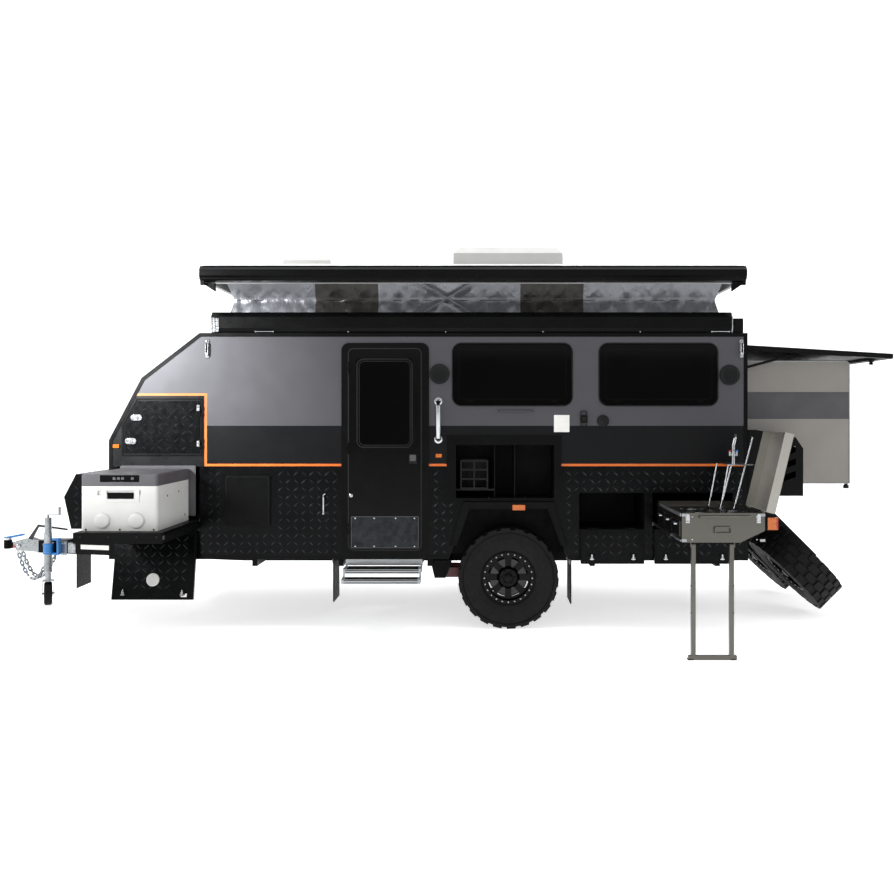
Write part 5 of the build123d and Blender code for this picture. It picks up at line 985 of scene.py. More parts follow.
class FittingBuilder(bpy.types.Operator):
    """Add speakers, grab handle, toggles, covers, light, card, door stay and rims"""
    bl_idname = "caravan.fittings"
    bl_label = "Side fittings"

    def execute(self, context):
        speaker_grilles()
        grab_handle()
        roof_toggles()
        socket_covers()
        slot_light()
        blank_card()
        door_stay()
        pantry_rim()
        vent_cover_rim()
        return {"FINISHED"}


# Locker doors: marks on the near tool locker and on the hanging doors
# Each hanging door: front, rear, low and high edge, degrees it is swung down, and its body
HANG = {"tunnel": (1434, 2089, 784, 1328, 168, "trailer"),
        "storage": (5110, 5630, 804, 1088, 178, "storage_leaf"),
        "kitchen": (5694, 6334, 804, 1088, 178, "trailer")}
HANG_INNER = NEAR + 20
LATCH_IN = 96
TUNNEL_VENT = (1757, 1166)
TUNNEL_VENT_R = 34
TOOL_FACE = NEAR - 6
TOOL_LATCHES = ((1590, 1688), (1545, 1501))


def swing(name):
    """Hinge point, hinge line and degrees by which a hanging door is turned down."""
    x0, _, z0, _, degrees, _ = HANG[name]
    return (x0, NEAR - 8, z0), TO_REAR, degrees


def hanging_door(name, pitch):
    """Tread sheet, its bars and the edge trim on a hanging door's inner side."""
    x0, x1, z0, z1, _, body = HANG[name]
    inner = HANG_INNER
    sheet = Shape()
    sheet.panel((x0 + 11, x1 - 11), (z0 + 7, z1 - 11), (inner - 3, inner), 5)
    sheet.turned(*swing(name))
    sheet.piece(f"{name}_door_sheet", body, "Black painted tread plate", "checker_plate")
    field = [(x0 + 36, z0 + 32), (x1 - 36, z0 + 32), (x1 - 36, z1 - 36), (x0 + 36, z1 - 36)]
    holes = [hole(x - 34, x + 34, z1 - 96, z1 - 28) for x in (x0 + LATCH_IN, x1 - LATCH_IN)]
    bars = Shape()
    tread_bars(bars, field, (0, inner, 0), TO_REAR, UP, TO_FAR, pitch, holes)
    bars.turned(*swing(name))
    # The bars' finish is painted lighter than the sheet, as painted sheen
    bars.piece(f"{name}_door_bars", body, "Dark metal with painted sheen", "checker_plate")
    edge = Shape()
    edge.frame((x0 + 9, x1 - 9), (z0 + 5, z1 - 9), (inner - 1, inner + 3), 6, 16)
    edge.turned(*swing(name))
    edge.piece(f"{name}_door_edge", body, "Black anodised extrusion", "checker_plate", bevel=0.8)


def door_latches(name):
    """Turn latches near a hanging door's upper corners."""
    x0, x1, _, z1, _, body = HANG[name]
    y = HANG_INNER
    z = z1 - 62
    bases, locks = Shape(), Shape()
    for x in (x0 + LATCH_IN, x1 - LATCH_IN):
        bases.lathe((x, y, z), TO_FAR, ((0, 26), (2, 26), (4, 22), (10.5, 16), (11, 12)), 24)
        locks.lathe((x, y + 9, z), TO_FAR, ((0, 9), (3, 9), (4, 6)), 16)
        locks.box((x - 5, x + 5), (y + 10, y + 13), (z - 22, z + 22))
        locks.box((x - 16, x + 16), (y + 10, y + 12.5), (z + 12, z + 20))
    bases.turned(*swing(name))
    bases.piece(f"{name}_door_latch_bases", body, "Gloss black enamel", "checker_plate", smooth=50)
    locks.turned(*swing(name))
    locks.piece(f"{name}_door_latches", body, "Bright zinc plate", "checker_plate", bevel=0.5)


def tunnel_marks():
    """Round vent and blank label on the tunnel box's door."""
    body = HANG["tunnel"][-1]
    y = HANG_INNER
    x, middle = TUNNEL_VENT
    vent = Shape()
    vent.lathe((x, y, middle), TO_FAR, ((0, 51), (3, 51), (6, 46), (6, 38), (3, TUNNEL_VENT_R)), 36)
    for z in range(-24, 25, 12):
        half = math.sqrt(TUNNEL_VENT_R ** 2 - z ** 2)
        vent.box((x - half, x + half), (y + 2, y + 5), (middle + z - 3, middle + z + 3))
    vent.turned(*swing("tunnel"))
    vent.piece("tunnel_door_vent", body, "Moulded white ABS", "checker_plate", bevel=0.5)
    label = Shape()
    label.panel((1983, 2030), (1272, 1299), (y + 0.5, y + 1.6), 3)
    label.turned(*swing("tunnel"))
    label.piece("tunnel_door_blank_label", body, "Blank card", "checker_plate")


def tool_door(pitch):
    """Tread bars, paddle latches and hinges on the near tool locker's door."""
    face = TOOL_FACE
    bars = Shape()
    field = [(1500, 1412), (2084, 1412), (2084, 1811), (1610, 1811), (1500, 1617)]
    holes = [hole(x - 50, x + 50, z - 30, z + 30) for x, z in TOOL_LATCHES]
    tread_bars(bars, field, (0, face, 0), TO_REAR, UP, TO_NEAR, pitch, holes)
    # The bars' finish is painted lighter than the door, as painted sheen
    bars.piece("tool_door_bars", "tool_leaf", "Dark metal with painted sheen", "silver_panel")
    paddles = Shape()
    for x, z in TOOL_LATCHES:
        paddles.panel((x - 46, x + 44), (z - 24, z + 24), (face - 9, face - 7), 23)
        paddles.frame((x - 40, x + 20), (z - 17, z + 17), (face - 12, face - 9), 16, 3)
        paddles.box((x - 30, x + 12), (face - 13, face - 9), (z - 9, z + 9))
        paddles.lathe((x + 30, face - 7, z), TO_NEAR, ((0, 8), (3, 8), (4, 6)), 14)
    for z in (1479, 1764):
        paddles.panel((2068, 2092), (z - 24, z + 24), (face - 6, face - 1), 4)
        for k in (-14, 14):
            paddles.lathe((2080, face - 6, z + k), TO_NEAR, SMALL_SCREW, 10)
    paddles.piece("tool_door_paddles", "tool_leaf", "Bright zinc plate", "silver_panel", bevel=0.8)


class LockerDoorBuilder(bpy.types.Operator):
    """Add tread bars, edge trims, latches and blank labels to the locker doors"""
    bl_idname = "caravan.locker_doors"
    bl_label = "Locker doors"

    def execute(self, context):
        pitch = context.scene.caravan_body.bar_pitch
        for name in HANG:
            hanging_door(name, pitch)
            door_latches(name)
        tunnel_marks()
        tool_door(pitch)
        return {"FINISHED"}


# Roof: folded fabric wall, edge extrusions, units on top and the awning's fittings
SKIRT_X = (2206, 6346)
SKIRT_Y = 905
SKIRT_Z = (2361.5, 2855.5)
LIFT = SKIRT_Z[1] - SKIRT_Z[0]
FABRIC_STEP = 26
FABRIC_ROWS = 26
FOLD = 84
CORNER_REACH = 160
SCISSOR_X = 4052
SCISSOR_Z = 2658
SCISSOR_REACH = 290
SCISSOR_FALL = 165
SCISSOR_RISE = 190
# Front and rear ends of the dark flyscreen panels along the side walls
DARK_PANELS = ((2969, 3477), (4665, 5164))


def coated_fabric(name, shades, metallic, thread_mm):
    """Tent fabric: plain weave under a coating; the thread is drawn coarser than it is, to show."""
    def weave(tree):
        coords = add_node(tree, "ShaderNodeTexCoord")
        waves = []
        for direction in ("X", "Z"):
            wave = add_node(tree, "ShaderNodeTexWave", {"bands_direction": direction},
                            {"Scale": per_metre(thread_mm) / 20, "Distortion": 0.4},
                            {"Vector": coords.outputs["Object"]})
            waves.append(wave.outputs["Fac"])
        both = add_node(tree, "ShaderNodeMath", {"operation": "ADD"}, links={0: waves[0], 1: waves[1]})
        faint = add_node(tree, "ShaderNodeMath", {"operation": "MULTIPLY"}, {1: 0.12}, {0: both.outputs[0]})
        creases = add_node(tree, "ShaderNodeMath", {"operation": "MULTIPLY_ADD"}, {1: 15.0},
                           {0: patches(tree, 120, 6, (1.6, 1.6, 0.7)), 2: faint.outputs[0]})
        return creases.outputs[0]

    shader = {"Metallic": metallic, "Sheen Weight": 0.3, "Sheen Roughness": 0.4}
    return surface(name, shader, lambda tree: mottled(tree, 240, shades, 5),
                   lambda tree: worn(tree, 60, (0.26, 0.42), 4), weave, 0.8)


def ridge(x, z, line, width, rise):
    """Swelling along a straight tube that presses the fabric from inside."""
    (x0, z0), (x1, z1) = line
    length = math.hypot(x1 - x0, z1 - z0)
    away = abs((x1 - x0) * (z0 - z) - (x0 - x) * (z1 - z0)) / length
    return rise * math.exp(-(away / width) ** 2)


def fabric_spots():
    """Places round the fabric wall: X, Y, the way out and the distance to the nearer corner."""
    x0, x1 = SKIRT_X
    corners = [(x0, -SKIRT_Y), (x1, -SKIRT_Y), (x1, SKIRT_Y), (x0, SKIRT_Y)]
    spots = []
    for (ax, ay), (bx, by) in zip(corners, corners[1:] + corners[:1]):
        length = math.hypot(bx - ax, by - ay)
        out = ((by - ay) / length, -(bx - ax) / length)
        count = round(length / FABRIC_STEP)
        for i in range(count):
            share = i / count
            near_corner = min(share, 1 - share) * length
            spots.append((ax + (bx - ax) * share, ay + (by - ay) * share, out, near_corner))
    return spots


def fabric_wall():
    """Grid of faces from hem to rail; faces in the flyscreen panels take the second material."""
    spots = fabric_spots()
    shape = Shape()
    rings = []
    for j in range(FABRIC_ROWS + 1):
        v = j / FABRIC_ROWS
        z = SKIRT_Z[0] + LIFT * v
        rings.append([shape.mesh.verts.new(point(*fabric_place(spot, v, z))) for spot in spots])
    for low, high in zip(rings, rings[1:]):
        for i, (x, y, _, _) in enumerate(spots):
            k = (i + 1) % len(spots)
            face = shape.mesh.faces.new((low[i], low[k], high[k], high[i]))
            middle = x + FABRIC_STEP / 2
            dark = any(x0 < middle < x1 for x0, x1 in DARK_PANELS) and abs(y) == SKIRT_Y
            face.material_index = int(dark)
    return shape


def fabric_place(spot, v, z):
    """Where the fabric hangs: pinched in at half height, creased, and swollen by the scissor."""
    x, y, (out_x, out_y), near_corner = spot
    pinch = FOLD * min(v / 0.6, (1 - v) / 0.4) ** 0.9
    slack = math.sin(math.pi * v) * min(1, near_corner / CORNER_REACH)
    along = x * abs(out_y) + y * abs(out_x)
    folds = 5 * math.sin(along / 61 + 2.2 * v) * math.sin(along / 143 + 4 * v)
    folds += 3.5 * math.sin(along / 27 + 7 * v + math.sin(along / 310) * 3)
    for lean, pitch, depth in ((0.8, 210, 9), (-1.1, 270, 9), (0.35, 350, 7)):
        folds += depth * (1 - abs(math.sin(math.pi * (along + lean * z) / pitch + lean))) ** 5
    swell = 0
    if out_y:
        for side in (-1, 1):
            line = ((SCISSOR_X - side * SCISSOR_REACH, SCISSOR_Z - SCISSOR_FALL),
                    (SCISSOR_X + side * SCISSOR_REACH, SCISSOR_Z + SCISSOR_RISE))
            if abs(x - SCISSOR_X) < SCISSOR_REACH + 40:
                swell += ridge(x, z, line, 18, 34) * slack
    bulge = -pinch + folds * slack + swell
    x_out, y_out = out_x * bulge, out_y * bulge
    if near_corner < CORNER_REACH:
        inward = pinch * (1 - near_corner / CORNER_REACH)
        if out_y:
            x_out = inward if x < SCISSOR_X else -inward
        else:
            y_out = inward if y < 0 else -inward
    return x + x_out, y + y_out, z


def fabric_seams():
    """Seam half way up, and the scissor tubes that show through the fabric."""
    seams = Shape()
    middle = SCISSOR_Z
    for y in (-SKIRT_Y, SKIRT_Y):
        inward = FOLD if y < 0 else -FOLD
        path = [(SKIRT_X[0] + FOLD + 20 + i * 200, y + inward * 0.97, middle) for i in range(20)]
        seams.tube(path, 3.4, 6)
    tubes = Shape()
    for y, out in ((-SKIRT_Y, (0, -1)), (SKIRT_Y, (0, 1))):
        for side in (-1, 1):
            path = []
            for i in range(17):
                share = i / 16
                x = SCISSOR_X + side * SCISSOR_REACH * (2 * share - 1)
                z = SCISSOR_Z - SCISSOR_FALL + (SCISSOR_FALL + SCISSOR_RISE) * share
                v = (z - SKIRT_Z[0]) / LIFT
                path.append(fabric_place((x, y, out, 1000), v, z))
            tubes.tube(path, 9, 10)
    cross = tubes.piece("roof_fabric_cross", "trailer", bpy.data.materials["Silver coated tent fabric"],
                        "grey_fabric", smooth=60)
    seam = seams.piece("roof_fabric_seam", "trailer", "Rubber sheet", "grey_fabric")
    for piece in (seam, cross):
        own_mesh(piece)


class RoofFabricBuilder(bpy.types.Operator):
    """Drape the pleated fabric wall between the deck and the lifted roof"""
    bl_idname = "caravan.roof_fabric"
    bl_label = "Roof fabric"

    def execute(self, context):
        silver = coated_fabric("Silver coated tent fabric", ("#74767b", "#8b8e94"), 0.6, 3)
        fabric = fabric_wall().piece("roof_fabric", "trailer", silver, "grey_fabric", smooth=70)
        fabric.data.materials.append(coated_fabric("Dark flyscreen mesh", ("#24221f", "#35322f"), 0.1, 2))
        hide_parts("roof_skirt")
        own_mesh(fabric)
        fabric_seams()
        return {"FINISHED"}


def roof_edge_ribs():
    """Fine ribs along the roof's near extrusion."""
    ribs = Shape()
    for z in (2775, 2842):
        ribs.box((2122, 6412), (-1244.5, -1241), (z, z + 7))
    for z in (2868, 2880):
        ribs.box((2140, 6400), (-1215 - (2888 - z) * 0.2, -1205), (z, z + 3))
    ribs.piece("roof_edge_ribs", "lifting_roof", "Black anodised extrusion", "black_trim", bevel=0.6)


def roof_edge_caps():
    """Screwed caps on the ends of the near extrusion."""
    caps = Shape()
    for x, sign in ((2120, -1), (6414, 1)):
        outline = [(-1150, 2757), (-1206, 2764), (-1240, 2802), (-1240, 2846), (-1206, 2882),
                   (-1150, 2889)]
        caps.prism(outline, "yz", *sorted((x, x + sign * 3)))
        for y, z in ((-1188, 2790), (-1206, 2826), (-1180, 2860)):
            caps.lathe((x + sign * 3, y, z), (sign, 0, 0), ((0, 7), (2.5, 7), (3.5, 4.5)), 12)
    caps.piece("roof_edge_caps", "lifting_roof", "Galvanised steel", "black_trim", bevel=0.8)


def roof_end_brackets():
    """Gussets under the extrusion's ends."""
    brackets = Shape()
    for x0, x1, tip in ((2122, 2222, 2222), (6412, 6318, 6318)):
        brackets.prism([(x0, 2753), (x1, 2753), (tip, 2688)], "xz", -1172, -1128)
    brackets.piece("roof_end_brackets", "lifting_roof", "Black powder coated steel", "black_trim", bevel=1)


def roof_edge_bolts():
    """Bolts on top of the extrusion."""
    bolts = Shape()
    for x in (2560, 3060, 3560, 4060, 4560, 5060, 5560, 6060):
        bolts.lathe((x, -1146, 2888), UP, ((0, 12), (5, 12), (9, 7)), 12)
    bolts.piece("roof_edge_bolts", "lifting_roof", "Bright zinc plate", "black_trim")


def air_conditioner_grille():
    """Louvres at the cooler's rear, and a dark strip as painted shade in the groove round its base."""
    cooler = Shape()
    for i in range(9):
        y = -330 + i * 76
        cooler.box((5040, 5049), (y, y + 46), (3040, 3050))
        cooler.box((5040, 5049), (y, y + 46), (3062, 3072))
        cooler.box((5040, 5049), (y, y + 46), (3084, 3094))
    # Dark strip along the base: painted shade in the groove
    cooler.frame((4108, 5022), (3024, 3030), (-364, -358), 2, 2)
    cooler.piece("air_conditioner_grille", "lifting_roof", "Moulded dark polypropylene", "white_gloss")


def roof_vent_lip():
    """Lip round the front roof vent."""
    lip = Shape()
    lip.frame((2600, 3022), (3013, 3024), (-424, -418), 2, 3)
    lip.ring(rounded((2596, 3026), (-428, -12), 30), rounded((2608, 3014), (-416, -24), 20), "xy",
             3013, 3026)
    lip.piece("roof_vent_lip", "lifting_roof", "Moulded white ABS", "white_gloss", bevel=1.2)


def awning_ribs():
    """Grooves along the awning's case."""
    ribs = Shape()
    for z, t in ((2408, 8), (2446, 5), (2478, 7)):
        ribs.box((2206, 6318), (-1127.5, -1125.5), (z, z + t))
    ribs.piece("awning_ribs", "trailer", "Black anodised extrusion", "black_trim", bevel=0.6)


def awning_ends():
    """End plates of the awning's case, with their turning hubs."""
    ends = Shape()
    outline = [(-1124, 2404), (-1108, 2364), (-992, 2364), (-992, 2478), (-1026, 2527), (-1088, 2527),
               (-1124, 2486)]
    for x, sign in ((2203, -1), (6321, 1)):
        ends.prism(outline, "yz", *sorted((x, x + sign * 14)))
        ends.box(sorted((x + sign * 14, x + sign * 20)), (-1100, -1020), (2440, 2452))
        ends.lathe((x + sign * 14, -1060, 2446), (sign, 0, 0), ((0, 34), (5, 34), (8, 26), (12, 12)), 24)
    ends.piece("awning_ends", "trailer", "Galvanised steel", "black_trim", bevel=1.2)


def awning_end_fins():
    """Fins beside the case's front end."""
    fins = Shape()
    for i in range(5):
        fins.box((2186 + i * 12, 2192 + i * 12), (-1127.5, -1124), (2370, 2484))
    fins.piece("awning_end_fins", "trailer", "Bright zinc plate", "black_trim", bevel=0.6)


def awning_catches():
    """Pull loops and screws under the case."""
    pulls = Shape()
    for x in (2535, 6165):
        pulls.tube([(x, -1130, 2372), (x + 70, -1134, 2372), (x + 140, -1130, 2372)], 3, 8)
        for k in (0, 140):
            pulls.lathe((x + k, -1126, 2372), TO_NEAR, ((0, 6), (5, 6), (7, 4)), 12)
    for x in (3272, 4047, 4822, 5597):
        pulls.lathe((x, -1126, 2371), TO_NEAR, ((0, 5), (4, 5), (6, 3)), 12)
    pulls.piece("awning_catches", "trailer", "Bright zinc plate", "black_trim")


def awning_rear_block():
    """Block behind the case's rear end."""
    post = Shape()
    post.box((6346, 6424), (-1100, -1040), (2362, 2480))
    post.box((6352, 6418), (-1106, -1100), (2372, 2470))
    post.piece("awning_rear_block", "trailer", "Black powder coated steel", "black_trim", bevel=2)


class RoofBuilder(bpy.types.Operator):
    """Add the roof's edge grooves, end brackets, units and awning fittings"""
    bl_idname = "caravan.roof"
    bl_label = "Roof and awning"

    def execute(self, context):
        roof_edge_ribs()
        roof_edge_caps()
        roof_end_brackets()
        roof_edge_bolts()
        air_conditioner_grille()
        roof_vent_lip()
        awning_ribs()
        awning_ends()
        awning_end_fins()
        awning_catches()
        awning_rear_block()
        return {"FINISHED"}
# Wheels: beads, hub caps and valves on the rims
WHEEL_Y = 975
AXLE_Z = 402
SPARE_CENTRE = (7045, 455, 414)
# The spare wheels' outer sides face down and forwards
SPARE_OUT = (-math.sin(math.radians(45)), 0, -math.cos(math.radians(45)))
WHEELS = (("near", (AXLE_X, -WHEEL_Y, AXLE_Z), (0, -1, 0), "wheel_near"),
          ("far", (AXLE_X, WHEEL_Y, AXLE_Z), (0, 1, 0), "wheel_far"),
          ("spare_near", (SPARE_CENTRE[0], -SPARE_CENTRE[1], SPARE_CENTRE[2]), SPARE_OUT, "trailer"),
          ("spare_far", SPARE_CENTRE, SPARE_OUT, "trailer"))
BEAD_BOLTS = 24
BEAD_BOLT_R = 192
RIM_LIP_R = 205


class WheelBuilder(bpy.types.Operator):
    """Add bead bolts, hub caps and valves to the rims"""
    bl_idname = "caravan.wheels"
    bl_label = "Wheels"

    def execute(self, context):
        for label, centre, out, body in WHEELS:
            self.dress_rim(label, Vector(centre), Vector(out).normalized(), body)
        return {"FINISHED"}

    def dress_rim(self, label, centre, axis, body):
        """Bolts, lip, cap and valve on one rim, whose outer side faces along the axis."""
        u = axis.cross(Vector((0, 0, 1)) if abs(axis.z) < 0.6 else Vector((0, 1, 0))).normalized()
        v = axis.cross(u)

        def at(radius, degrees, away):
            turn = math.radians(degrees)
            return tuple(centre + u * radius * math.cos(turn) + v * radius * math.sin(turn) + axis * away)

        bolts = Shape()
        for i in range(BEAD_BOLTS):
            bolts.lathe(at(BEAD_BOLT_R, 360 / BEAD_BOLTS * i, 109.5), axis, ((0, 6.5), (4, 6.5), (6, 4)), 6)
        bolts.piece(f"bead_bolts_{label}", body, "Galvanised steel", "black_rim")
        lip = Shape()
        lip.tube([at(RIM_LIP_R, 6 * i, 107) for i in range(60)], 3.4, 8, closed=True)
        lip.piece(f"rim_lip_{label}", body, "Moulded dark polypropylene", "black_rim", smooth=60)
        cap = Shape()
        cap.lathe(at(0, 0, 101), axis, ((0, 38), (9, 38), (14, 34), (16, 24), (16.5, 8)), 32)
        cap.piece(f"hub_cap_{label}", body, "Gloss black enamel", "black_rim", smooth=50)
        valve = Shape()
        valve.lathe(at(160, 40, 62), axis, ((0, 5), (18, 5), (20, 3.5), (34, 3.5)), 10)
        valve.piece(f"valve_{label}", body, "Bright zinc plate", "black_rim")


# Running gear: fender edges, lenses and flap brackets
FENDER_FACE = 1166
FENDER_EDGES = (((4085, 676), (4187, 1015), (4909, 1015), (5011, 676)),
                ((4132, 676), (4238, 967), (4858, 967), (4964, 676)))
FENDER_SCREWS = ((4262, 991), (4430, 991), (4666, 991), (4834, 991), (4143, 800), (4953, 800))
FLAPS = ((5040, 975), (3144, 940))
FLAP_HALF = 136


def fender_side(label, sign):
    """Edge beads, screws and marker lens of one fender."""
    face = sign * FENDER_FACE
    bead = Shape()
    for outline in FENDER_EDGES:
        bead.tube([(x, face, z) for x, z in outline], 4.5, 8)
    for x, z in FENDER_SCREWS:
        bead.lathe((x, face, z), (0, sign, 0), ((0, 7), (3, 7), (5, 4)), 10)
    bead.piece(f"fender_bead_{label}", "trailer", "Black powder coated steel", "black_trim", smooth=50)
    lens = Shape()
    lens.panel((4582, 4674), (959, 993), sorted((face + sign * 10, face + sign * 13)), 5)
    for x in range(4594, 4674, 16):
        lens.box((x, x + 4), sorted((face + sign * 12.5, face + sign * 14.5)), (963, 989))
    lens.piece(f"fender_lens_{label}", "trailer", "Amber lens", "lens")


def flap_brackets():
    """Brackets that carry the mud flaps."""
    brackets = Shape()
    for sign in (-1, 1):
        for x, middle in FLAPS:
            y0, y1 = sorted((sign * (middle - FLAP_HALF), sign * (middle + FLAP_HALF)))
            brackets.box((x - 5, x), (y0, y1), (516, 552))
            for y in (y0 + 26, (y0 + y1) / 2, y1 - 26):
                brackets.lathe((x - 5, y, 534), TO_FRONT, ((0, 9), (4, 9), (6, 6)), 8)
    brackets.piece("flap_brackets", "trailer", "Galvanised steel", "rubber", bevel=0.8)


class RunningGearBuilder(bpy.types.Operator):
    """Add fender edges, lamps' lenses and flap brackets"""
    bl_idname = "caravan.running_gear"
    bl_label = "Fenders and lamps"

    def execute(self, context):
        for label, sign in SIDES:
            fender_side(label, sign)
        flap_brackets()
        return {"FINISHED"}


# Rear: bed pod, hatch and lamps
POD_Y = 770
POD_REAR_X = 7402
POD_BEAD_Z = (1140, 2134)
HATCH_HINGE = (6465, 0, 2283)
HATCH_DEGREES = 3.4
HATCH_KNOB = ((0, 26), (8, 26), (16, 12), (30, 20), (36, 14))
LAMP_FACE = 1066
LAMP_Z = (792, 878)


def pod_band():
    """Grey band round the bed pod."""
    band = Shape()
    low, high = (-POD_Y - 0.8, -POD_Y), (POD_Y, POD_Y + 0.8)
    for y in (low, high):
        band.box((REAR_X, POD_REAR_X), y, (1675, 1900))
    band.box((POD_REAR_X, POD_REAR_X + 0.8), (low[0], high[1]), (1675, 1900))
    band.piece("pod_band", "pod", "Mid grey ABS", "pod_shell")


def pod_beads():
    """Bright beads along the bed pod's edges."""
    beads = Shape()
    x = POD_REAR_X - 3
    for y in (-POD_Y - 1, POD_Y + 1):
        beads.tube([(6470, y, 2156), (7376, y, 2156), (x, y, POD_BEAD_Z[1]), (x, y, POD_BEAD_Z[0]),
                    (6470, y, POD_BEAD_Z[0])], 4.5, 8)
    for z in POD_BEAD_Z:
        beads.tube([(x, -POD_Y - 1, z), (x, POD_Y + 1, z)], 4.5, 8)
    beads.piece("pod_corner_beads", "pod", "Galvanised steel", "pod_shell", smooth=60)


def pod_feet():
    """Feet under the bed pod's floor."""
    feet = Shape()
    for y in (-700, 700):
        feet.lathe((7397, y, 1136), DOWN, ((0, 14), (14, 14), (20, 23), (40, 23), (44, 16)), 20)
    feet.piece("pod_feet", "pod", "Moulded dark polypropylene", "pod_shell", smooth=50)


def hatch():
    """Skin and turning locks of the raised rear hatch."""
    x0, _, z0 = HATCH_HINGE
    skin = Shape()
    skin.box((x0 + 4, x0 + 1240), (-896, 896), (z0 + 0.2, z0 + 2))
    skin.turned(HATCH_HINGE, TO_FAR, HATCH_DEGREES)
    skin.piece("hatch_skin", "trailer", "Coil coated aluminium composite", "silver_panel")
    locks = Shape()
    for y in (-600, 600):
        locks.lathe((x0 + 1190, y, z0 - 41), DOWN, HATCH_KNOB, 20)
    locks.turned(HATCH_HINGE, TO_FAR, HATCH_DEGREES)
    locks.piece("hatch_locks", "trailer", "Moulded dark polypropylene", "silver_panel", smooth=50)


def rear_lenses():
    """Red and amber lenses of the rear lamps."""
    red, amber = Shape(), Shape()
    for _, sign in SIDES:
        side = sorted((sign * LAMP_FACE, sign * (LAMP_FACE + 2)))
        red.box((6712, 6715), sorted((sign * 868, sign * 1032)), (800, 870))
        red.box((6699, 6712), side, LAMP_Z)
        amber.box((6655, 6697), side, LAMP_Z)
    red.piece("rear_red_lenses", "trailer", "Red lens", "lens")
    amber.piece("rear_amber_lenses", "trailer", "Amber lens", "lens")


class RearBuilder(bpy.types.Operator):
    """Add the pod's band, beads and feet, the hatch's skin and locks, and the rear lenses"""
    bl_idname = "caravan.rear"
    bl_label = "Rear"

    def execute(self, context):
        pod_band()
        pod_beads()
        pod_feet()
        hatch()
        rear_lenses()
        return {"FINISHED"}


# Drawbar: clamp, chain plates, blank cards and the jockey wheel's hub
POST = (447, -175)
JOCKEY_AXLE = (432.4, -142.1, 103.5)
JOCKEY_TURN = math.radians(24)
PLATE_BOLT = ((0, 9), (7, 9), (9, 6))


def arm_face(x):
    """Where the near side of the near drawbar arm runs."""
    return -(85 + 0.23350 * (x - 330))


def arm_strip(shape, x0, x1, away, thick, z0, z1):
    """Strip on the near face of the near arm."""
    shape.prism([(x0, arm_face(x0) - away), (x1, arm_face(x1) - away), (x1, arm_face(x1) - away - thick),
                 (x0, arm_face(x0) - away - thick)], "xy", z0, z1)


def jockey_clamp():
    """Clamp, sleeve and blank label of the jockey post."""
    x, y = POST
    clamp = Shape()
    for z in (462, 538):
        clamp.lathe((x, y, z), UP, ((0, 36), (0, 44), (20, 44), (20, 36)), 28)
    clamp.box((531, 548), (-196, -140), (455, 604))
    for z in (455, 586):
        clamp.box((488, 532), (-192, -144), (z, z + 18))
    clamp.piece("jockey_clamp", "trailer", "Blue enamel", "blue_steel", bevel=1.0)
    sleeve = Shape()
    sleeve.lathe((x, y, 300), UP, ((0, 28), (0, 34), (8, 36), (16, 33.5), (336, 33.5), (342, 35),
                                          (350, 35), (350, 28)), 32)
    sleeve.piece("jockey_sleeve", "trailer", "Galvanised steel", "galvanised", smooth=50)
    label = Shape()
    label.lathe((x, y, 484), UP, ((0, 40), (0, 40.7), (52, 40.7), (52, 40)), 32)
    label.piece("jockey_blank_label", "trailer", "Blue enamel", "blue_steel", smooth=60)


def jockey_hub():
    """Discs on both sides of the jockey wheel."""
    hub = Shape()
    for _, sign in SIDES:
        out = (sign * math.cos(JOCKEY_TURN), sign * math.sin(JOCKEY_TURN), 0)
        hub.lathe(JOCKEY_AXLE, out, ((22.3, 73), (25, 73), (27, 62), (25, 34), (25, 28)), 32)
    hub.piece("jockey_wheel_discs", "jockey_roller", "Mid grey ABS", "galvanised", smooth=50)


def drawbar_plates():
    """Bolted plates on the arm and the coupling, and a blank card."""
    plates = Shape()
    for x0, x1, z0, z1 in ((548, 604, 448, 572), (616, 690, 470, 556)):
        arm_strip(plates, x0, x1, 0, 5, z0, z1)
        for x in (x0 + 14, x1 - 14):
            for z in (z0 + 16, z1 - 16):
                plates.lathe((x, arm_face(x) - 4, z), (0.227, -0.974, 0), PLATE_BOLT, 6)
    for _, sign in SIDES:
        plates.prism([(104, 560), (200, 590), (300, 556), (250, 500), (150, 492)], "xz",
                     *sorted((sign * 52, sign * 56)))
        for x, z in ((150, 548), (210, 560), (262, 540), (190, 512)):
            plates.lathe((x, sign * 55, z), (0, sign, 0), ((0, 9), (6, 9), (8, 6)), 6)
    plates.piece("drawbar_plates", "trailer", "Galvanised steel", "galvanised", bevel=0.6)
    card = Shape()
    arm_strip(card, 742, 1057, 0.3, 1, 506, 546)
    card.piece("drawbar_blank_card", "trailer", "Blank card", "white_gloss")


def coupling_marks():
    """Red safety catch and pin heads of the coupling."""
    catch = Shape()
    catch.tube([(70, -40, 520), (92, -58, 506), (110, -58, 520)], 6, 10)
    catch.piece("coupling_safety_catch", "trailer", "Red enamel", "dark_red", smooth=60)
    pins = Shape()
    pins.lathe((0, 0, 583), UP, ((-18, 30), (-14, 32), (0, 32), (6, 24)), 24)
    for _, sign in SIDES:
        pins.lathe((126, sign * 66, COUPLING_Z), (0, sign, 0), ((-4, 19), (4, 19), (6, 15)), 6)
    pins.piece("coupling_pin_heads", "trailer", "Bright zinc plate", "chrome", bevel=0.6)


class DrawbarBuilder(bpy.types.Operator):
    """Add the jockey clamp, bolted plates, blank cards, pins and hub of the drawbar"""
    bl_idname = "caravan.drawbar"
    bl_label = "Drawbar"

    def execute(self, context):
        jockey_clamp()
        jockey_hub()
        drawbar_plates()
        coupling_marks()
        return {"FINISHED"}


# Fridge on its slide
FRIDGE_X = (1462, 2012)
FRIDGE_Y = (-1870, -1142)
FRIDGE_FACE = FRIDGE_Y[0]
FRIDGE_LID_Z = 1198
HANDLE_X = (1612, 1882)
VENT_DOME_R = 55
VENT_DOME_Z = 950
SLIDE_X = (1447, 2074)


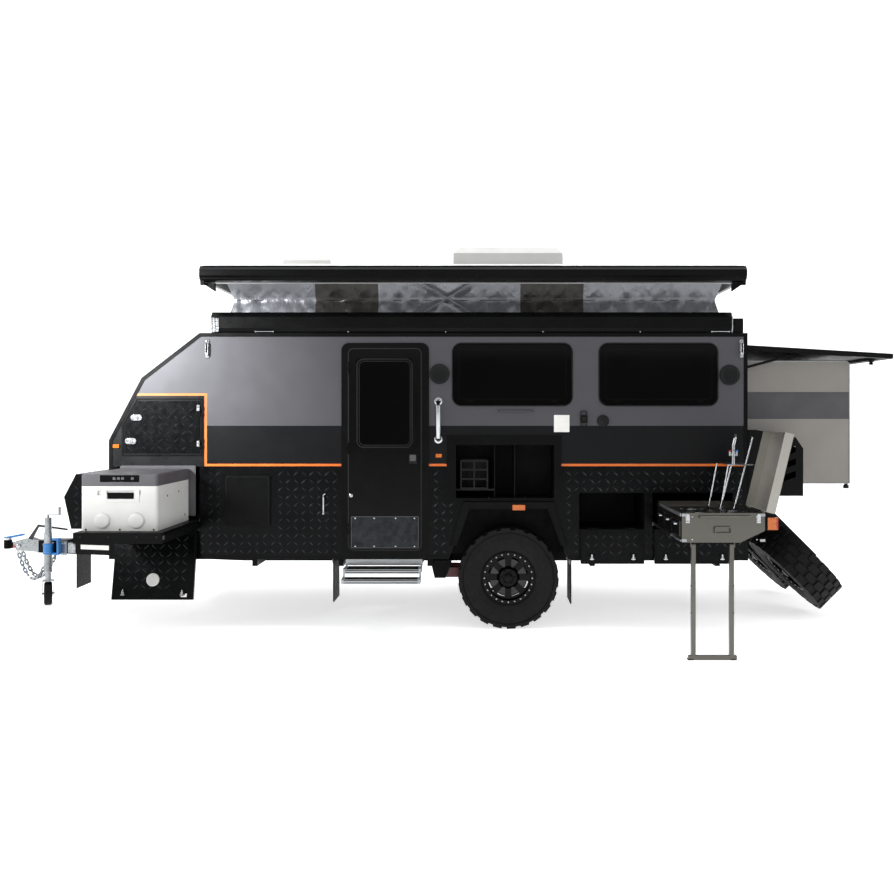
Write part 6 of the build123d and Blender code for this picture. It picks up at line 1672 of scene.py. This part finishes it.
def fridge_controls():
    """Strip of controls on the fridge's front, its keys left blank."""
    strip = Shape()
    strip.panel((1600, 1880), (1228, 1277), (FRIDGE_FACE - 3, FRIDGE_FACE + 1), 5)
    strip.piece("fridge_control_strip", "fridge_top", "Gloss black enamel", "black_gloss", bevel=0.8)
    keys = Shape()
    for x in (1692, 1722, 1752, 1822):
        keys.panel((x, x + 20), (1244, 1262), (FRIDGE_FACE - 4, FRIDGE_FACE - 2.6), 3)
    keys.piece("fridge_blank_keys", "fridge_top", "Mid grey ABS", "black_gloss")


def fridge_seal():
    """Rubber seal between the fridge's tub and its lid."""
    (x0, x1), (y0, y1) = FRIDGE_X, FRIDGE_Y
    seal = Shape()
    outer = rounded((x0 + 3, x1 - 3), (y0 + 3, y1 - 3), 20)
    inner = rounded((x0 + 24, x1 - 24), (y0 + 24, y1 - 24), 8)
    seal.ring(outer, inner, "xy", FRIDGE_LID_Z + 0.1, FRIDGE_LID_Z + 1.9)
    seal.piece("fridge_seal", "fridge_unit", "Rubber sheet", "rubber")


def fridge_handle():
    """Handle across the fridge's front, with a black panel as painted shade over the hollow behind it."""
    pocket = Shape()
    x0, x1 = FRIDGE_X
    pocket.box((x0 + 121, x1 - 121), (FRIDGE_FACE + 10.5, FRIDGE_FACE + 11.9), (1135, 1165))
    for x0, x1 in ((HANDLE_X[0], HANDLE_X[0] + 36), (HANDLE_X[1] - 36, HANDLE_X[1])):
        pocket.box((x0, x1), (FRIDGE_FACE - 3, FRIDGE_FACE + 0.5), (1082, 1172))
    pocket.piece("fridge_handle_sides", "fridge_unit", "Moulded white ABS", "dark_plastic", bevel=1.0)
    # Black panel laid on the face: painted shade where the handle's hollow is
    painted_recess_shade = Shape()
    painted_recess_shade.panel((1652, 1842), (1107, 1152), (FRIDGE_FACE - 1.6, FRIDGE_FACE - 0.4), 6)
    painted_recess_shade.piece("fridge_handle_recess", "fridge_unit", "Gloss black enamel", "dark_plastic")
    grip = Shape()
    grip.box((HANDLE_X[0] + 36, HANDLE_X[1] - 36), (FRIDGE_FACE - 5, FRIDGE_FACE), (1084, 1106))
    grip.piece("fridge_handle", "fridge_unit", "Moulded white ABS", "dark_plastic", bevel=3.0)


def fridge_vents():
    """Two domed vents low on the fridge's front."""
    domes = Shape()
    face = FRIDGE_FACE - 7
    for x in (FRIDGE_X[0] + 152, FRIDGE_X[1] - 152):
        domes.lathe((x, face, VENT_DOME_Z), TO_NEAR,
                    ((0, VENT_DOME_R), (3, 53), (5, 46), (7, 34), (8, 16)), 36)
        for r in (20, 36, 50):
            y = face - 8 * (1 - (r / (VENT_DOME_R + 3)) ** 2)
            domes.tube(circle_path((x, y, VENT_DOME_Z), r, 15), 1.6, 6, closed=True)
    domes.piece("fridge_vent_domes", "fridge_unit", "Moulded white ABS", "white_gloss", smooth=60)


def fridge_screws():
    """Screws on the fridge's side and front and on its tray."""
    screws = Shape()
    for y, z in ((-1660, 1112), (-1400, 1124), (-1250, 930)):
        screws.lathe((FRIDGE_X[1], y, z), TO_REAR, ((0, 8), (2, 8), (3, 5)), 12)
    for x in (1498, 1742, 1985):
        screws.lathe((x, FRIDGE_FACE, 886), TO_NEAR, ((0, 7), (2, 7), (3, 4)), 12)
    for x in (1500, 1700, 1900, 2040):
        screws.lathe((x, FRIDGE_FACE - 100, 846), TO_NEAR, ((0, 8), (3, 8), (5, 5)), 12)
    screws.piece("fridge_screws", "fridge_unit", "Moulded dark polypropylene", "dark_plastic")


def fridge_slide():
    """Plate behind the fridge and the slide's outer members."""
    plate = Shape()
    plate.panel((1462, 2062), (907, 1306), (-1137, -1133), 12)
    plate.frame((1470, 2054), (915, 1298), (-1138.5, -1137), 10, 4)
    plate.piece("fridge_slide_backplate", "fridge_unit", "Mid grey ABS", "galvanised")
    rails = Shape()
    for x in SLIDE_X:
        rails.box((x - 1, x + 2), (-1950, -1180), (822, 852))
    rails.piece("fridge_slide_members", "fridge_unit", "Galvanised steel", "galvanised")


class FridgeBuilder(bpy.types.Operator):
    """Add the control strip, seal, handle, vent domes, screws and slide of the fridge"""
    bl_idname = "caravan.fridge"
    bl_label = "Fridge"

    def execute(self, context):
        fridge_controls()
        fridge_seal()
        fridge_handle()
        fridge_vents()
        fridge_screws()
        fridge_slide()
        return {"FINISHED"}


# Kitchen on its slide, its lid, leg and tap
KITCHEN_X = (5728, 6306)
KITCHEN_FACE = -2066
KITCHEN_LID_AXIS = (6312, 0, 1027)
KITCHEN_LID_DEGREES = 103.5
LID_INNER_Z = 1088
LEG_XS = (5790, 6086)
TAP_Y = -1320
TAP_LEVERS = ((6258, "hot", "Red enamel", "dark_red"), (6310, "cold", "Blue enamel", "blue_steel"))
BURNERS = ((5880, -1930), (5880, -1680), (6150, -1800))
# Blank stickers inside the closed lid: finish and limits along X and Y
LID_STICKERS = {
    "Blank card": ((5800, 5880, -2040, -1980), (5840, 5900, -1950, -1915)),
    "Mid grey ABS": ((5900, 5985, -2040, -1985), (5930, 5990, -1960, -1910)),
    "Dark red chassis paint": ((6020, 6090, -2035, -1975),)}


def kitchen_drawers():
    """Fronts and pulls of the three drawers."""
    x0 = KITCHEN_X[0]
    fronts, pulls = Shape(), Shape()
    bends = ((9, 75), (24, 78), (24, 172), (9, 175))
    for y in (-2006, -1726, -1446):
        fronts.box((x0 - 9.5, x0 - 6), (y + 4, y + 246), (860, 962))
        pulls.tube([(x0 - away, y + along, 936) for away, along in bends], 5, 8)
    fronts.piece("drawer_fronts", "trailer", "Black powder coated steel", "black_frame", bevel=1.0)
    pulls.piece("drawer_pulls", "trailer", "Bright zinc plate", "chrome", smooth=60)


def kitchen_latches():
    """Over centre latches and screws on the kitchen's end."""
    face = KITCHEN_FACE
    latches = Shape()
    for x in (5768, 6262):
        latches.box((x - 14, x + 14), (face - 4, face), (956, 1012))
        latches.box((x - 9, x + 9), (face - 11, face - 4), (972, 1020))
        latches.lathe((x - 12, face - 8, 966), TO_REAR, ((0, 5), (24, 5)), 12)
    for x in (5800, 6250):
        for z in (842, 1000):
            latches.lathe((x, face, z), TO_NEAR, ((0, 5), (1.5, 5), (2.5, 3)), 10)
    latches.piece("kitchen_latches", "trailer", "Bright zinc plate", "chrome", bevel=0.6)


def kitchen_trims():
    """Bright trims along the kitchen's edges and corners."""
    x0, face = KITCHEN_X[0], KITCHEN_FACE
    trims = Shape()
    for z in ((1002, 1024), (828, 838)):
        trims.box((x0 - 12, x0 - 6), (face + 6, -1300), z)
    for x, way in zip(KITCHEN_X, (1, -1)):
        for z in (826, 1002):
            trims.box(sorted((x, x + way * 34)), (face - 2.5, face), (z, z + 18))
            trims.box(sorted((x - way * 2, x)), (face - 2.5, face + 30), (z, z + 18))
    trims.piece("kitchen_edge_trims", "trailer", "Mill aluminium", "chrome", bevel=0.6)


def kitchen_stickers():
    """Blank stickers inside the raised lid."""
    for look, spots in LID_STICKERS.items():
        stickers = Shape()
        for x0, x1, y0, y1 in spots:
            stickers.box((x0, x1), (y0, y1), (LID_INNER_Z - 1.4, LID_INNER_Z - 0.2))
        stickers.turned(KITCHEN_LID_AXIS, TO_FAR, KITCHEN_LID_DEGREES)
        stickers.piece("kitchen_lid_" + look.lower().replace(" ", "_"), "kitchen_cover", look, "chrome")


def kitchen_hob():
    """Pan rests round the burners, and the gas knobs."""
    rings = Shape()
    for x, y in BURNERS:
        rings.lathe((x, y, 1006), UP, ((0, 46), (2, 46), (3, 40)), 32)
        for degrees in (45, 135, 225, 315):
            c, s = math.cos(math.radians(degrees)), math.sin(math.radians(degrees))
            rings.tube([(x + r * c, y + r * s, z) for r, z in ((18, 1024), (82, 1024), (88, 998))], 3.5, 8)
    rings.piece("hob_rings", "trailer", "Black powder coated steel", "black_frame", smooth=50)
    knobs = Shape()
    for y in (-1990, -1860, -1740):
        knobs.lathe((6276, y, 994), UP, ((0, 17), (10, 16), (14, 14), (20, 12)), 20)
    knobs.piece("gas_knobs", "trailer", "Moulded dark polypropylene", "dark_plastic", smooth=50)


def kitchen_tap():
    """Levers and spout of the tap."""
    for x, label, look, slot in TAP_LEVERS:
        lever = Shape()
        lever.lathe((x, TAP_Y, 1424), UP, ((0, 10), (7, 10), (9, 7)), 16)
        lever.tube([(x, TAP_Y, 1428), (x, TAP_Y - 28, 1436)], 4, 8)
        lever.piece(f"tap_lever_{label}", "trailer", look, slot, smooth=50)
    spout = Shape()
    spout.tube([(6300, TAP_Y, 1536), (6296, TAP_Y - 20, 1552), (6280, TAP_Y - 80, 1556),
                (6268, TAP_Y - 116, 1536), (6266, TAP_Y - 120, 1520)], 9, 12)
    spout.piece("tap_spout", "trailer", "Bright zinc plate", "chrome", smooth=60)


def kitchen_feet():
    """Rubber pads and bolts of the kitchen's legs."""
    feet = Shape()
    for x in LEG_XS:
        feet.box((x - 18, x + 18), (-2062, -2026), (0, 8))
        for z in (330, 520):
            feet.lathe((x + 3, -2059, z), TO_NEAR, SMALL_SCREW, 10)
    feet.piece("kitchen_leg_pads", "kitchen_support", "Rubber sheet", "rubber")


class KitchenBuilder(bpy.types.Operator):
    """Add drawer fronts, latches, trims, hob rings, tap levers and blank stickers to the kitchen"""
    bl_idname = "caravan.kitchen"
    bl_label = "Kitchen"

    def execute(self, context):
        kitchen_drawers()
        kitchen_latches()
        kitchen_trims()
        kitchen_stickers()
        kitchen_hob()
        kitchen_tap()
        kitchen_feet()
        return {"FINISHED"}


# Entry step
STEP_X = (3270, 3842)
STEP_TREADS = ((-1270, -1100, 502), (-1370, -1250, 440))
RIB_PITCH = 17


class StepBuilder(bpy.types.Operator):
    """Add grip ribs, edge strips and pivots to the entry step"""
    bl_idname = "caravan.step"
    bl_label = "Entry step"

    def execute(self, context):
        ribs = Shape()
        for y0, y1, z in STEP_TREADS:
            for y in range(y0 + 14, y1 - 16, RIB_PITCH):
                ribs.box((STEP_X[0] + 6, STEP_X[1] - 6), (y, y + 5), (z, z + 3))
            for low in (z - 28, z - 10):
                ribs.box(STEP_X, (y0 - 2, y0), (low, low + 6))
        ribs.piece("step_ribs", "trailer", "Black powder coated steel", "black_trim")
        pivots = Shape()
        for x, way in ((3252, -1), (3860, 1)):
            for y, z in ((-1180, 486), (-1320, 424), (-1120, 520)):
                pivots.lathe((x, y, z), (way, 0, 0), ((0, 10), (3, 10), (6, 6)), 12)
        pivots.piece("step_pivots", "trailer", "Bright zinc plate", "chrome")
        return {"FINISHED"}


class CaravanPanel(bpy.types.Panel):
    """Lists the builders and their settings"""
    bl_idname = "CARAVAN_PT_builders"
    bl_label = "Caravan"
    bl_space_type = "VIEW_3D"
    bl_region_type = "UI"
    bl_category = "Caravan"

    def draw(self, context):
        for builder in BUILDERS:
            self.layout.operator(builder.bl_idname)
        for _, holder in SETTINGS:
            settings = getattr(context.scene, holder)
            for name in type(settings).__annotations__:
                self.layout.prop(settings, name)


SETTINGS = (
    (StageSettings, "caravan_stage"),
    (BodySettings, "caravan_body"),
)
BUILDERS = (
    StageBuilder, BodyBuilder, StripeBuilder, TreadPlateBuilder, DoorBuilder, WindowBuilder,
    FittingBuilder, LockerDoorBuilder, RoofFabricBuilder, RoofBuilder, WheelBuilder,
    RunningGearBuilder, RearBuilder, DrawbarBuilder, FridgeBuilder, KitchenBuilder, StepBuilder,
)
CLASSES = tuple(kind for kind, _ in SETTINGS) + BUILDERS + (CaravanPanel,)


def register():
    for kind in CLASSES:
        bpy.utils.register_class(kind)
    for kind, holder in SETTINGS:
        setattr(bpy.types.Scene, holder, bpy.props.PointerProperty(type=kind))


def unregister():
    for _, holder in SETTINGS:
        delattr(bpy.types.Scene, holder)
    for kind in reversed(CLASSES):
        bpy.utils.unregister_class(kind)


def main():
    register()
    for builder in BUILDERS:
        group, action = builder.bl_idname.split(".")
        getattr(getattr(bpy.ops, group), action)()


if __name__ == "__main__":
    main()
